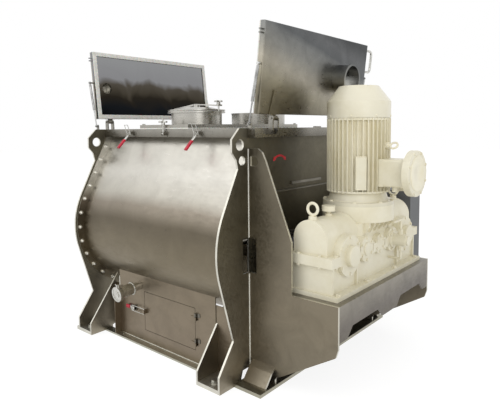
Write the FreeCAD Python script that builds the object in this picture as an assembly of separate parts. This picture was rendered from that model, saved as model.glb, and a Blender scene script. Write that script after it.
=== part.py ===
import FreeCAD, Part
import math
import os
from FreeCAD import Vector

# Double-shaft paddle mixer, in millimetres.
# X runs along the two shafts, from the idle end (-X) to the drive end (+X).
# Y runs across the trough, from the front (-Y) to the rear (+Y). Z is up from the floor.
# The origin lies on the floor, in the middle of the four feet.

# Feet and end plates
foot_pitch_x = 1295.0
foot_width = 190.0
foot_front = 885.0
foot_depth = 185.0
foot_plate_t = 24.0
foot_bolt_r = 12.0
foot_bolt_in = 62.0
anchor_hole_in = 140.0
trough_gap = 1447.0
end_plate_t = 14.0
plate_margin = 60.0

# Trough
shaft_half = 372.0
shaft_z = 782.0
trough_r = 458.0
trough_t = 6.0
wall_top_half = 551.0
ring_width = 50.0
ring_t = 12.0
ring_bolt_r = 5.0

# Top frame, middle cover and its two ports
frame_top = 1497.5
frame_h = 55.5
frame_half = 614.0
frame_bar = 69.0
frame_over_idle = 110.0
frame_over_drive = 50.0
frame_wall = 10.0
cross_bar = 100.0
cover_x0 = -269.0
cover_length = 500.0
cover_gasket_t = 6.0
cover_t = 22.0
manhole_x = -7.0
manhole_y = -309.0
manhole_r = 181.0
manhole_flange_r = 206.0
manhole_h = 92.0
vent_x = 5.0
vent_y = 375.0
vent_r = 218.0
vent_h = 90.0
port_wall = 4.0

# Skirt, inspection door and sampling port
skirt_half = 715.0
skirt_t = 6.0
sill_w = 58.0
sill_t = 12.0
fin_x = -424.0
fin_top = 330.0
wing_w = 22.0
sill_hole_x0 = -367.0
sill_hole_pitch = 152.5
sill_holes = 6
sill_hole_in = 30.0
door_x0 = -140.0
door_x1 = 373.0
door_z0 = 95.0
door_z1 = 371.0
door_latch_z = 232.0
door_gap = 3.0
sample_x = -187.0
sample_z = 390.0
sample_r = 30.0
sample_body_r = 40.0
sample_reach = 895.0
sample_tilt = 5.0

# Discharge flaps
flap_half_angle = 16.0
flap_length = 420.0
flap_gap = 1.5
flap_shaft_r = 14.0

# Drive-end frame
side_half = 618.0
side_t = 14.0
side_top = 1380.0
shelf_z = 569.0
shelf_t = 16.0
shelf_reach = 600.0
pad_t = 20.0
rail_w = 197.0
rail_half = 765.0
flare_w = 92.0
chute_gap = 72.0

# Shafts and paddles
shaft_r = 45.0
running_gap = 0.05
paddle_tip_r = 438.0
paddle_stations = 6
paddle_pitch = 232.0
blade_w = 150.0
blade_h = 120.0
blade_t = 10.0
blade_angle = 45.0
arm_r = 17.0

# Gear unit
unit_x = 1121.0
unit_half_x = 132.0
unit_half_y = 545.0
unit_foot_x = 184.0
unit_foot_y = 562.0
unit_foot_t = 24.0
unit_wall = 12.0
vault_r = 109.0
vault_top = 992.0
joint_low = 745.0
joint_high = 800.0
joint_over = 26.0
tower_half_y = 210.0
output_cover_r = 117.0
output_cap_r = 60.0
idler_half = 172.0
idler_cover_r = 78.0
inner_cover_r = 62.0
boss_x = 1262.0
cover_flange_t = 14.0

# Gears: module, teeth and face width of each mesh
out_module = 8.0
out_teeth = 36
out_pinion_teeth = 14
input_module = 4.0
input_teeth = 66
input_pinion_teeth = 20
bevel_module = 5.0
bevel_teeth = 42
bevel_pinion_teeth = 12
gear_backlash = 0.6
bevel_backlash = 1.4
idler_shaft_r = 30.0
input_shaft_r = 25.0

# Motor
motor_r = 195.0
motor_core_r = 166.0
adapter_r = 219.0
adapter_z0 = 931.0
adapter_z1 = 1026.0
fins_z0 = 1101.0
fins_z1 = 1551.0
cowl_z1 = 1653.0
cowl_top = 1748.0
cowl_top_r = 122.0
fin_count = 40
fin_t = 4.0
jbox_z = 1225.0
jbox_face_x = 1503.0
jbox_r = 135.0
jbox_lid_t = 22.0
jbox_neck_half_y = 78.0
jbox_neck_half_z = 82.0

# Lids
lid_width = 1213.8
lid_near = -600.4
lid_length = 524.5
lid_depth = 36.0
lid_sheet = 3.0
seal_t = 10.0
seal_w = 32.0
seal_gap = 0.3
hinge_out = 25.0
hinge_z = 1555.0
hinge_half = 469.0
lid_open = 96.4
lid_port_r = 96.0
lid_port_h = 105.0
lid_stub_r = 46.0
strut_r = 9.0
strut_rod_r = 4.5
strut_cylinder = 205.0

# Small fittings
latch_idle_x = -367.0
latch_drive_x = 333.0
latch_reach = 150.0
latch_grip = 80.0
door_latch_reach = 84.0
door_latch_grip = 40.0
knob_x = 0.0
interlock_y = 115.0

X = Vector(1, 0, 0)
Y = Vector(0, 1, 0)
Z = Vector(0, 0, 1)

# Places that follow from the sizes above
drive_face = foot_pitch_x / 2 + foot_width / 2
drive_inner = drive_face - end_plate_t
idle_inner = drive_face - trough_gap
idle_outer = idle_inner - end_plate_t
frame_low = frame_top - frame_h
frame_x0 = idle_outer - frame_over_idle
frame_x1 = drive_face + frame_over_drive
cover_z0 = frame_top + cover_gasket_t
cover_top = cover_z0 + cover_t
unit_z = shaft_z


def box(x0, x1, y0, y1, z0, z1):
    return Part.makeBox(x1 - x0, y1 - y0, z1 - z0, Vector(x0, y0, z0))


def rod(direction, start, length, radius):
    return Part.makeCylinder(radius, length, Vector(*start), direction)


def tube(direction, start, length, outer, inner):
    return rod(direction, start, length, outer).cut(rod(direction, start, length, inner))


def cone(direction, start, length, radius0, radius1):
    return Part.makeCone(radius0, radius1, length, Vector(*start), direction)


def fuse(*shapes):
    return shapes[0].multiFuse(list(shapes[1:])).removeSplitter()


def group(shapes):
    return Part.makeCompound(shapes)


def mirrored(shape):
    return shape.mirror(Vector(0, 0, 0), Y)


def both_sides(shape):
    return group([shape, mirrored(shape)])


def moved(shape, dx, dy, dz):
    copy = shape.copy()
    copy.translate(Vector(dx, dy, dz))
    return copy


def turned(shape, centre, axis, degrees):
    copy = shape.copy()
    copy.rotate(Vector(*centre), axis, degrees)
    return copy


def face_of(edges):
    return Part.Face(Part.Wire(edges))


def prism(points, start, extrude):
    """Solid with the outline of the points in the plane square to extrude, moved to start."""
    closed = [Vector(*point) for point in points]
    closed.append(closed[0])
    shape = Part.Face(Part.makePolygon(closed)).extrude(extrude)
    shape.translate(start)
    return shape


def prism_yz(points, x0, x1):
    return prism([(0, y, z) for y, z in points], Vector(x0, 0, 0), X * (x1 - x0))


def prism_xz(points, y0, y1):
    return prism([(x, 0, z) for x, z in points], Vector(0, y0, 0), Y * (y1 - y0))


def prism_xy(points, z0, z1):
    return prism([(x, y, 0) for x, y in points], Vector(0, 0, z0), Z * (z1 - z0))


def hexagon(direction, start, length, across):
    """Hexagonal head or nut, standing on start."""
    radius = across / math.sqrt(3.0)
    points = []
    for i in range(6):
        angle = math.radians(60 * i)
        points.append((radius * math.cos(angle), radius * math.sin(angle)))
    head = prism_xy(points, 0, length)
    turn = FreeCAD.Rotation(Z, direction)
    head.Placement = FreeCAD.Placement(Vector(*start), turn)
    return head


def bolt(direction, seat, grip, radius):
    """Bolt whose head stands on seat and whose shank runs back along the grip."""
    across = radius * 3.2
    head = hexagon(direction, seat, radius * 1.3, across)
    washer = rod(direction, seat, radius * 0.3, radius * 2.1)
    shank = rod(direction * -1, seat, grip, radius)
    return fuse(head, washer, shank)


def bolt_and_nut(direction, seat, grip, radius):
    back = Vector(*seat) - direction * grip
    nut = hexagon(direction * -1, tuple(back), radius * 1.5, radius * 3.2)
    tail = rod(direction * -1, tuple(back), radius * 2.2, radius)
    return fuse(bolt(direction, seat, grip, radius), nut, tail)


def drill(shape, seats, direction, depth, radius):
    """Cut one clearance hole behind each seat."""
    tools = []
    for seat in seats:
        start = Vector(*seat) + direction * 1.0
        tools.append(rod(direction * -1, tuple(start), depth + 2.0, radius))
    return shape.cut(tools)


def ring_points(centre, radius, count, first=0.0):
    """Points on a circle square to X."""
    points = []
    for i in range(count):
        angle = math.radians(first + 360.0 * i / count)
        y = centre[1] + radius * math.cos(angle)
        z = centre[2] + radius * math.sin(angle)
        points.append((centre[0], y, z))
    return points


# Trough outline: a leaning wall that is tangent to a half round round each shaft

def wall_lean():
    """Angle of the upper wall from the vertical, tangent to the trough circle."""
    dy = wall_top_half - shaft_half
    dz = frame_low - shaft_z
    reach = math.hypot(dy, dz)
    return math.pi / 2 - math.acos(trough_r / reach) - math.atan2(dy, dz)


lean = wall_lean()


def wall_half(radius, z):
    """Distance of the upper wall from the middle plane, at a height."""
    tangent_y = shaft_half + radius * math.cos(lean)
    tangent_z = shaft_z + radius * math.sin(lean)
    return tangent_y - (z - tangent_z) * math.tan(lean)


def arc_on(radius, first, last):
    """Arc on the front shaft's circle, between two angles in degrees."""
    points = []
    for angle in (first, (first + last) / 2, last):
        a = math.radians(angle)
        points.append(Vector(0, -shaft_half + radius * math.cos(a), shaft_z + radius * math.sin(a)))
    return Part.Arc(*points).toShape()


def flipped(edge):
    return edge.mirror(Vector(0, 0, 0), Y)


def trough_solid(offset, top, x0, x1):
    """Everything inside the trough outline, grown by an offset."""
    radius = trough_r + offset
    ridge = 360.0 - math.degrees(math.acos(shaft_half / radius))
    arc = arc_on(radius, 180.0 - math.degrees(lean), ridge)
    side = wall_half(radius, top)
    corner = Vector(0, -side, top)
    start = arc.Vertexes[0].Point
    line = Part.makeLine(corner, start)
    lid = Part.makeLine(corner, Vector(0, side, top))
    face = face_of(Part.__sortEdges__([lid, line, arc, flipped(arc), flipped(line)]))
    solid = face.extrude(X * (x1 - x0))
    solid.translate(Vector(x0, 0, 0))
    return solid


def trough_core(offset):
    """The trough's inside, longer than the trough, for cutting what lies against it."""
    return trough_solid(offset, frame_low, 1.2 * idle_outer, 1.2 * drive_face)


def flap_angles():
    return 270.0 - flap_half_angle, 270.0 + flap_half_angle


def flap_segment(inner, outer, first, last, x0, x1):
    """Curved piece of the trough floor under the front shaft."""
    edges = [arc_on(outer, first, last), arc_on(inner, first, last)]
    ends = []
    for index in (0, 1):
        ends.append(Part.makeLine(edges[0].Vertexes[index].Point, edges[1].Vertexes[index].Point))
    face = face_of(Part.__sortEdges__(edges + ends))
    solid = face.extrude(X * (x1 - x0))
    solid.translate(Vector(x0, 0, 0))
    return solid


def sample_pipe(radius, y0, y1):
    """Round bar along the sampling port, between two distances from the middle plane."""
    start = (sample_x, -y0, sample_z + (sample_reach - y0) * math.tan(math.radians(sample_tilt)))
    tilt = math.radians(sample_tilt)
    direction = Vector(0, -math.cos(tilt), -math.sin(tilt))
    return rod(direction, start, (y1 - y0) / math.cos(tilt), radius)


def make_trough():
    outer = trough_solid(0, frame_low, idle_inner, drive_inner)
    inner = trough_solid(-trough_t, frame_low + 1, idle_inner - 1, drive_inner + 1)
    shell = outer.cut(inner)
    first, last = flap_angles()
    for side in (1, -1):
        hole = flap_segment(trough_r - trough_t - 5, trough_r + 5, first, last,
                            -flap_length / 2, flap_length / 2)
        shell = shell.cut(hole if side > 0 else mirrored(hole))
    pipe_path = sample_pipe(sample_r - port_wall, 560, sample_reach)
    shell = fuse(shell, make_end_ring())
    y, z = flap_shaft_centre()
    shaft_holes = [rod(X, (idle_inner - 1, side * y, z), ring_t + 2, flap_shaft_r + 2) for side in (-1, 1)]
    return shell.cut([pipe_path] + shaft_holes)


def ring_bolt_seats():
    """Seats of the bolts round the idle-end ring, on the front half."""
    radius = trough_r + plate_margin / 2
    seats = []
    step = 12.5
    angles = [180.0 - math.degrees(lean) + 2.0 + step * i for i in range(8)]
    angles += [268.0 + step * i for i in range(4)]
    for degrees in angles:
        angle = math.radians(degrees)
        y = -shaft_half + radius * math.cos(angle)
        z = shaft_z + radius * math.sin(angle)
        seats.append((idle_inner + ring_t, y, z))
    for i in range(4):
        z = shaft_z + radius * math.sin(lean) + 96.0 * (i + 0.8)
        seats.append((idle_inner + ring_t, -wall_half(radius, z), z))
    return seats


def all_ring_seats():
    front = ring_bolt_seats()
    return front + [(x, -y, z) for x, y, z in front]


def make_end_ring():
    x1 = idle_inner + ring_t
    outer = trough_solid(ring_width, frame_low, idle_inner, x1)
    ring = outer.cut(trough_solid(-trough_t / 2, frame_low + 1, idle_inner - 1, x1 + 1))
    return drill(ring, all_ring_seats(), X, ring_t, ring_bolt_r)


def make_ring_bolts():
    bolts = []
    for seat in all_ring_seats():
        bolts.append(bolt_and_nut(X, seat, ring_t + end_plate_t, ring_bolt_r))
    return group(bolts)


# End plates

def plate_half_outline():
    """Edges of one half of an end plate, from the top middle to the bottom middle."""
    radius = trough_r + plate_margin
    kink = (762.0, 271.0)
    reach = math.hypot(kink[0] - shaft_half, kink[1] - shaft_z)
    below = math.atan2(shaft_z - kink[1], kink[0] - shaft_half) - math.acos(radius / reach)
    start = math.degrees(lean)
    end = -math.degrees(below)
    points = []
    for angle in (start, (start + end) / 2, end):
        a = math.radians(angle)
        points.append(Vector(0, shaft_half + radius * math.cos(a), shaft_z + radius * math.sin(a)))
    neck_z = 1265.0
    ear = [(0, frame_top), (692, frame_top), (757, 1434), (757, 1362), (722, 1320),
           (wall_half(radius, neck_z), neck_z)]
    foot = [kink, (foot_front, 100), (foot_front, foot_plate_t), (foot_front - foot_depth, foot_plate_t),
            (foot_front - foot_depth - 15, 70), (0, 70)]
    path = [Vector(0, y, z) for y, z in ear] + [points[0]]
    edges = [Part.makeLine(a, b) for a, b in zip(path[:-1], path[1:])]
    edges.append(Part.Arc(*points).toShape())
    path = [points[2]] + [Vector(0, y, z) for y, z in foot]
    edges += [Part.makeLine(a, b) for a, b in zip(path[:-1], path[1:])]
    return edges


def make_end_plate(x0, x1):
    half = plate_half_outline()
    edges = half + [flipped(edge) for edge in half]
    plate = face_of(Part.__sortEdges__(edges)).extrude(X * (x1 - x0))
    plate.translate(Vector(x0, 0, 0))
    cuts = []
    for side in (-1, 1):
        cuts.append(rod(X, (x0 - 1, side * 690, 1402), end_plate_t + 2, 33))
        cuts.append(rod(X, (x0 - 1, side * shaft_half, shaft_z), end_plate_t + 2, shaft_r + 6))
    bars = make_frame_blank()
    return plate.cut(cuts + [bars])


def make_idle_plate():
    plate = make_end_plate(idle_outer, idle_inner)
    plate = drill(plate, all_ring_seats(), X, ring_t + end_plate_t, ring_bolt_r)
    y, z = flap_shaft_centre()
    holes = []
    for side in (-1, 1):
        holes.append(rod(X, (idle_outer - 1, -side * y, z), end_plate_t + 2, flap_shaft_r + running_gap))
    for seat in bearing_seats():
        holes.append(rod(X, (idle_outer - 1, seat[1], seat[2]), end_plate_t + 2, 6))
    return plate.cut(holes)


def make_drive_plate():
    plate = make_end_plate(drive_inner, drive_face)
    cuts = []
    for side in (-1, 1):
        y0, y1 = sorted((side * (side_half + 2), side * (side_half + 55)))
        cuts.append(box(drive_inner - 1, drive_face + 1, y0, y1, 647, 852))
        cuts.append(rod(X, (drive_inner - 1, side * 673, 1311), end_plate_t + 2, 27))
    for seat in seal_seats():
        cuts.append(rod(X, (drive_inner - 1, seat[1], seat[2]), end_plate_t + 2, 6))
    return plate.cut(cuts)


# Top frame

frame_bolt_r = 6.0
cover_bolt_grip = cover_t + cover_gasket_t + 25.0


def cover_bolt_seats():
    """Seats of the middle cover's bolts."""
    seats = []
    edge = 10.0
    for x in (cover_x0 + edge, cover_x0 + cover_length - edge):
        for y in (-frame_half + 26, 20, frame_half - 26):
            seats.append((x, y, cover_top))
    return seats


def make_frame_blank():
    """Side bars of the top frame, full height, as the end plates meet them."""
    bars = []
    for side in (-1, 1):
        y0, y1 = sorted((side * (frame_half - frame_bar), side * frame_half))
        bars.append(box(frame_x0, frame_x1, y0, y1, frame_low, frame_top))
    return fuse(*bars)


def make_top_frame():
    inner = frame_half - frame_bar
    solids = [make_frame_blank()]
    solids.append(box(drive_face, frame_x1, -inner, inner, frame_low, frame_top))
    under = cross_bar / 4
    for x in (cover_x0 + under - cross_bar, cover_x0 + cover_length - under):
        solids.append(box(x, x + cross_bar, -inner, inner, frame_low, frame_top))
    solids.append(box(frame_x0, idle_outer, -inner, inner, frame_low, frame_top))
    frame = fuse(*solids)
    hollow = box(frame_x0 + frame_wall, idle_outer - frame_wall, -inner + frame_wall, inner - frame_wall,
                 frame_low - 1, frame_top - frame_wall)
    return drill(frame.cut(hollow), cover_bolt_seats(), Z, cover_bolt_grip, frame_bolt_r)


def make_cover_gasket():
    x1 = cover_x0 + cover_length
    band = 40.0
    outer = box(cover_x0, x1, -frame_half, frame_half, frame_top, cover_z0)
    inner = box(cover_x0 + band / 2, x1 - band / 2, -frame_half + frame_bar, frame_half - frame_bar,
                frame_top - 1, cover_z0 + 1)
    return drill(outer.cut(inner), cover_bolt_seats(), Z, cover_bolt_grip, frame_bolt_r)


def make_middle_cover():
    x1 = cover_x0 + cover_length
    plate = box(cover_x0, x1, -frame_half, frame_half, cover_z0, cover_top)
    inner = frame_half - frame_bar
    inset = cross_bar / 4
    clear = box(cover_x0 + inset, x1 - inset, -inner, inner, cover_z0 - 1, cover_top + 1)
    holes = [rod(Z, (manhole_x, manhole_y, cover_z0 - 1), cover_t + 2, manhole_r - port_wall),
             rod(Z, (vent_x, vent_y, cover_z0 - 1), cover_t + 2, vent_r - port_wall).common(clear)]
    top = cover_top + manhole_h
    neck = tube(Z, (manhole_x, manhole_y, cover_top), manhole_h, manhole_r, manhole_r - port_wall)
    flange = tube(Z, (manhole_x, manhole_y, top - 10), 10, manhole_flange_r, manhole_r - port_wall)
    collar = tube(Z, (vent_x, vent_y, cover_top), vent_h, vent_r, vent_r - port_wall)
    bead = tube(Z, (vent_x, vent_y, cover_top + vent_h - 6), 6, vent_r + 5, vent_r - port_wall)
    plate = drill(plate.cut(holes), cover_bolt_seats(), Z, cover_t, frame_bolt_r)
    return fuse(plate, neck, flange, collar, bead, make_clamp_tongue())


# Manhole cover: a dished lid under a strap, hinged at the idle side, closed by a star knob

cover_seat = cover_top + manhole_h
manhole_gasket_t = 5.0
strap_z = cover_seat + 44.0
strap_hinge_x = manhole_x - manhole_flange_r - 14.0
strap_bolt_x = manhole_x + manhole_flange_r + 14.0
strap_hinge_z = cover_seat + 16.0
strap_pin_r = 5.0
knob_screw_r = 6.0
knob_gap = 0.4


def make_manhole_gasket():
    start = (manhole_x, manhole_y, cover_seat)
    return tube(Z, start, manhole_gasket_t, manhole_flange_r - 6, manhole_r - port_wall)


def make_manhole_cover():
    z0 = cover_seat + manhole_gasket_t + seal_gap
    centre = (manhole_x, manhole_y, z0)
    rim = rod(Z, centre, 8, manhole_flange_r)
    dish = cone(Z, (manhole_x, manhole_y, z0 + 8), 16, manhole_r - 8, manhole_r - 60)
    hollow = cone(Z, (manhole_x, manhole_y, z0 - 1), 14, manhole_r - 12, manhole_r - 62)
    return fuse(rim, dish).cut(hollow)


def make_manhole_strap():
    z0 = cover_seat + manhole_gasket_t + seal_gap + 8
    outline = [(strap_hinge_x - 10, strap_hinge_z - 10), (strap_hinge_x + 8, strap_hinge_z - 10),
               (strap_hinge_x + 12, z0 + seal_gap), (manhole_x - manhole_r + 8, z0 + seal_gap),
               (manhole_x, z0 + 32), (manhole_x + 60, z0 + 32), (strap_bolt_x - 24, strap_z - 10),
               (strap_bolt_x + 16, strap_z - 10), (strap_bolt_x + 16, strap_z),
               (strap_bolt_x - 18, strap_z), (manhole_x, strap_z + 12),
               (strap_hinge_x + 2, strap_hinge_z + 12), (strap_hinge_x - 10, strap_hinge_z + 6)]
    strap = prism_xz(outline, manhole_y - 19, manhole_y + 19)
    dome = cone(Z, (manhole_x, manhole_y, z0), 16 + seal_gap, manhole_r - 8 + seal_gap,
                manhole_r - 60 + seal_gap)
    crown = rod(Z, (manhole_x, manhole_y, z0), 16, manhole_r - 60 + seal_gap)
    boss = rod(Z, (manhole_x, manhole_y, z0 + 16), 26, 24)
    strap = fuse(strap.cut([dome, crown]), boss)
    screw_hole = rod(Z, (strap_bolt_x, manhole_y, strap_z - 40), 80, knob_screw_r + running_gap)
    hinge_hole = rod(Y, (strap_hinge_x, manhole_y - 30, strap_hinge_z), 60, strap_pin_r + running_gap)
    return strap.cut([screw_hole, hinge_hole])


def make_manhole_brackets():
    """Hinge lugs with their pin on one side of the neck, the screw's block on the other."""
    x_wall = manhole_r - 1
    neck = rod(Z, (manhole_x, manhole_y, cover_top - 1), manhole_h - 9, manhole_r)
    flange = rod(Z, (manhole_x, manhole_y, cover_seat - 10), 11, manhole_flange_r)
    lugs = []
    for side in (-1, 1):
        y0, y1 = sorted((manhole_y + side * 19.5, manhole_y + side * 27.5))
        lug = [(manhole_x - x_wall, cover_seat - 50), (manhole_x - x_wall, cover_seat - 5),
               (manhole_x - manhole_flange_r - 2, cover_seat - 5), (strap_hinge_x + 9, strap_hinge_z + 8),
               (strap_hinge_x - 9, strap_hinge_z + 8), (strap_hinge_x - 12, strap_hinge_z - 14)]
        lugs.append(prism_xz(lug, y0, y1).cut([neck, flange]))
    pin = rod(Y, (strap_hinge_x, manhole_y - 31, strap_hinge_z), 62, strap_pin_r)
    block = box(manhole_x + x_wall, strap_bolt_x + 14, manhole_y - 16, manhole_y + 16, cover_seat - 30,
                cover_seat - 2).cut([neck, flange])
    block = block.cut(rod(Z, (strap_bolt_x, manhole_y, cover_seat - 22), 40, knob_screw_r + 0.8))
    return [fuse(lugs[0], lugs[1], pin), block]


def star_knob(x, y, z, hub_r):
    """Five-lobed knob on a vertical bolt, its seat at z."""
    solids = [rod(Z, (x, y, z), 26, hub_r)]
    for i in range(5):
        angle = math.radians(72 * i + 20)
        reach = hub_r + 8
        solids.append(rod(Z, (x + reach * math.cos(angle), y + reach * math.sin(angle), z + 12), 14, 10))
    return fuse(*solids)


def make_manhole_knob():
    """Star knob with its captive screw, which reaches down through the strap into the block."""
    z = strap_z + knob_gap
    washer = rod(Z, (strap_bolt_x, manhole_y, z), 4, 15)
    screw = rod(Z, (strap_bolt_x, manhole_y, cover_seat - 16), z + 6 - cover_seat + 16, knob_screw_r)
    return fuse(washer, star_knob(strap_bolt_x, manhole_y, z + 4, 15), screw)


# Cover clamp: a swing bolt on the front bar with a star knob over the middle cover's slot

clamp_pin_z = frame_top - 32.0
clamp_pin_y = -frame_half - 14.0
clamp_bolt_r = 6.0


def make_clamp_lugs():
    lugs = []
    for side in (-1, 1):
        x0, x1 = sorted((knob_x + side * 8.5, knob_x + side * 14.5))
        lugs.append(box(x0, x1, -frame_half - 24, -frame_half, clamp_pin_z - 12, clamp_pin_z + 12))
    pin = rod(X, (knob_x - 18, clamp_pin_y, clamp_pin_z), 36, 4)
    plate = box(knob_x - 24, knob_x + 24, -frame_half - 4, -frame_half, clamp_pin_z - 20, clamp_pin_z + 20)
    return fuse(lugs[0], lugs[1], pin, plate)


def make_clamp_bolt():
    eye = rod(X, (knob_x - 8, clamp_pin_y, clamp_pin_z), 16, 9)
    shank = rod(Z, (knob_x, clamp_pin_y, clamp_pin_z), cover_top + 44 - clamp_pin_z, 6)
    return fuse(eye, shank).cut(rod(X, (knob_x - 9, clamp_pin_y, clamp_pin_z), 18, 4 + running_gap))


def make_clamp_tongue():
    """Forked tongue welded to the middle cover's front edge, which the clamp bolt drops into."""
    tongue = box(knob_x - 22, knob_x + 22, clamp_pin_y - 6, -frame_half, cover_top - 10, cover_top)
    slot = [rod(Z, (knob_x, clamp_pin_y, cover_top - 11), 12, 8),
            box(knob_x - 8, knob_x + 8, clamp_pin_y - 7, clamp_pin_y, cover_top - 11, cover_top + 1)]
    return tongue.cut(slot)


def make_clamp_knob():
    z = cover_top + knob_gap
    knob = fuse(rod(Z, (knob_x, clamp_pin_y, z), 4, 14), star_knob(knob_x, clamp_pin_y, z + 4, 14))
    return knob.cut(rod(Z, (knob_x, clamp_pin_y, z - 1), 60, 6 + running_gap))



# Skirt, feet and the door opening

def make_feet():
    feet = []
    for x_side in (-1, 1):
        x0, x1 = sorted((x_side * (drive_face - foot_width), x_side * drive_face))
        middle = x_side * foot_pitch_x / 2
        rib = sorted((x_side * (drive_face - foot_width), x_side * (drive_face - foot_width + 12)))
        base = box(x0, x1, -foot_front, -foot_front + foot_depth, 0, foot_plate_t)
        holes = [rod(Z, (middle, -foot_front + inset, -1), foot_plate_t + 2, foot_bolt_r + 1)
                 for inset in (foot_bolt_in, anchor_hole_in)]
        outline = [(-foot_front, foot_plate_t), (-foot_front, 85), (-640, 415), (-600, 415), (-600, 60),
                   (-foot_front + foot_depth, foot_plate_t)]
        gusset = prism_yz(outline, rib[0], rib[1]).cut(trough_core(0))
        foot = fuse(base.cut(holes), gusset)
        feet += [foot, mirrored(foot)]
    return group(feet)


def make_foot_bolts():
    bolts = []
    for x_side in (-1, 1):
        seat = (x_side * foot_pitch_x / 2, -foot_front + foot_bolt_in, foot_plate_t)
        fastener = bolt(Z, seat, foot_plate_t - 1, foot_bolt_r)
        bolts += [fastener, mirrored(fastener)]
    return bolts


skirt_end = drive_face - foot_width


def make_skirt(with_door):
    top = shaft_z - math.sqrt(trough_r ** 2 - (skirt_half - shaft_half) ** 2) + 10
    panel = box(fin_x, skirt_end, -skirt_half, -skirt_half + skirt_t, sill_t, top)
    sill_y = -skirt_half - sill_w + skirt_t
    sill = box(-skirt_end, skirt_end, sill_y, -skirt_half + skirt_t, 0, sill_t)
    fin = box(fin_x, fin_x + skirt_t, sill_y, -skirt_half, sill_t, fin_top)
    wing = box(fin_x, fin_x + skirt_t, -skirt_half, -skirt_half + wing_w, sill_t, top)
    holes = []
    for i in range(sill_holes):
        x = sill_hole_x0 + sill_hole_pitch * i
        holes.append(rod(Z, (x, sill_y + sill_hole_in, -1), sill_t + 2, 7))
    skirt = fuse(panel.cut(trough_core(0)), wing.cut(trough_core(0)), sill.cut(holes), fin)
    if not with_door:
        return skirt
    stop_y = -skirt_half + skirt_t
    stop = box(door_x0 - 16, door_x1 + 16, stop_y, stop_y + 5, door_z0 - 16, door_z1 + 16)
    stop = stop.cut(box(door_x0 + 12, door_x1 - 12, stop_y - 1, stop_y + 6, door_z0 + 12, door_z1 - 12))
    opening = box(door_x0, door_x1, -skirt_half - 1, stop_y, door_z0, door_z1)
    pipe = sample_pipe(sample_r + 0.5, 640, sample_reach)
    return fuse(skirt.cut(opening), stop).cut(pipe)


def make_skirts():
    return group([make_skirt(True), mirrored(make_skirt(False))])


door_axis_x = door_x1 + 9.0
door_axis_y = -skirt_half - 9.0
door_knuckles = ((door_z0 + 30.0, 50.0), (door_z1 - 80.0, 50.0))
door_pin_r = 3.0


def make_door():
    plate = box(door_x0 + door_gap, door_x1 - door_gap, -skirt_half, -skirt_half + skirt_t - 0.5,
                door_z0 + door_gap, door_z1 - door_gap)
    solids = [plate]
    for z, length in door_knuckles:
        leaf = box(door_x1 - 40, door_axis_x, -skirt_half - 3, -skirt_half, z + 1, z + length / 2 - 1)
        arm = box(door_axis_x - 8, door_axis_x, door_axis_y, -skirt_half, z + 1, z + length / 2 - 1)
        barrel = rod(Z, (door_axis_x, door_axis_y, z + 1), length / 2 - 2, 7)
        solids += [leaf, arm, barrel]
    hook = box(door_hook_x - 8, door_hook_x + 8, -skirt_half - latch_pivot - 10, -skirt_half,
               door_latch_z - 13, door_latch_z + 13)
    hook = hook.cut(rod(Z, (door_hook_x, -skirt_half - latch_pivot - 4, door_latch_z - 20), 40,
                        bail_wire_r + running_gap))
    solids.append(hook)
    door = fuse(*solids)
    bores = [rod(Z, (door_axis_x, door_axis_y, z), length, door_pin_r + running_gap)
             for z, length in door_knuckles]
    return door.cut(bores)


def make_door_hinges():
    """Fixed halves of the door hinges, with their pins."""
    hinges = []
    for z, length in door_knuckles:
        z0 = z + length / 2
        leaf = box(door_axis_x - 4, door_x1 + 44, -skirt_half - 3, -skirt_half, z0 + 1, z + length)
        arm = box(door_axis_x - 2, door_axis_x + 6, door_axis_y, -skirt_half, z0 + 1, z + length)
        barrel = rod(Z, (door_axis_x, door_axis_y, z0 + 1), length / 2 - 1, 7)
        pin = rod(Z, (door_axis_x, door_axis_y, z - 2), length + 2, door_pin_r)
        hinges.append(fuse(leaf, arm, barrel, pin))
    return hinges


# Sampling port

def make_sampling_port():
    bore = sample_pipe(sample_r - port_wall, 560, sample_reach + 30)
    pipe = sample_pipe(sample_r, 600, sample_reach - 40)
    ferrule = sample_pipe(sample_r + 8, sample_reach - 20, sample_reach)
    body = sample_pipe(sample_body_r, sample_reach - 110, sample_reach - 16)
    rib = sample_pipe(sample_body_r + 5, sample_reach - 116, sample_reach - 108)
    port = fuse(pipe, body, ferrule, rib).cut([bore, trough_core(0)])
    cap = sample_pipe(sample_r + 8, sample_reach + 0.5, sample_reach + 12)
    dome = sample_pipe(sample_r - 6, sample_reach + 12, sample_reach + 16)
    band = sample_pipe(sample_r + 22, sample_reach - 14, sample_reach + 14)
    inner = sample_pipe(sample_r + 8.2, sample_reach - 16, sample_reach + 18)
    ring = band.cut(inner)
    ear = box(sample_x - 8, sample_x + 8, -sample_reach - 12, -sample_reach + 10,
              sample_z + sample_r + 16, sample_z + sample_r + 34)
    screw = rod(X, (sample_x - 30, -sample_reach, sample_z + sample_r + 28), 60, 4)
    wing = box(sample_x + 26, sample_x + 32, -sample_reach - 18, -sample_reach + 18,
               sample_z + sample_r + 20, sample_z + sample_r + 36)
    clamp = fuse(ring, ear.cut(inner), screw, wing)
    return group([port, fuse(cap, dome), clamp])


# Discharge flaps under the trough, each on a shaft that runs through the idle end plate

flap_drive_l = 105.0
flap_bracket_x = flap_length / 2 + 14.0


def flap_shaft_centre():
    """Distance from the middle plane, and height, of a flap's shaft."""
    reach = 158.0
    y = shaft_half + reach
    return y, shaft_z - math.sqrt(trough_r ** 2 - reach ** 2) - flap_shaft_r - 18


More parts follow.
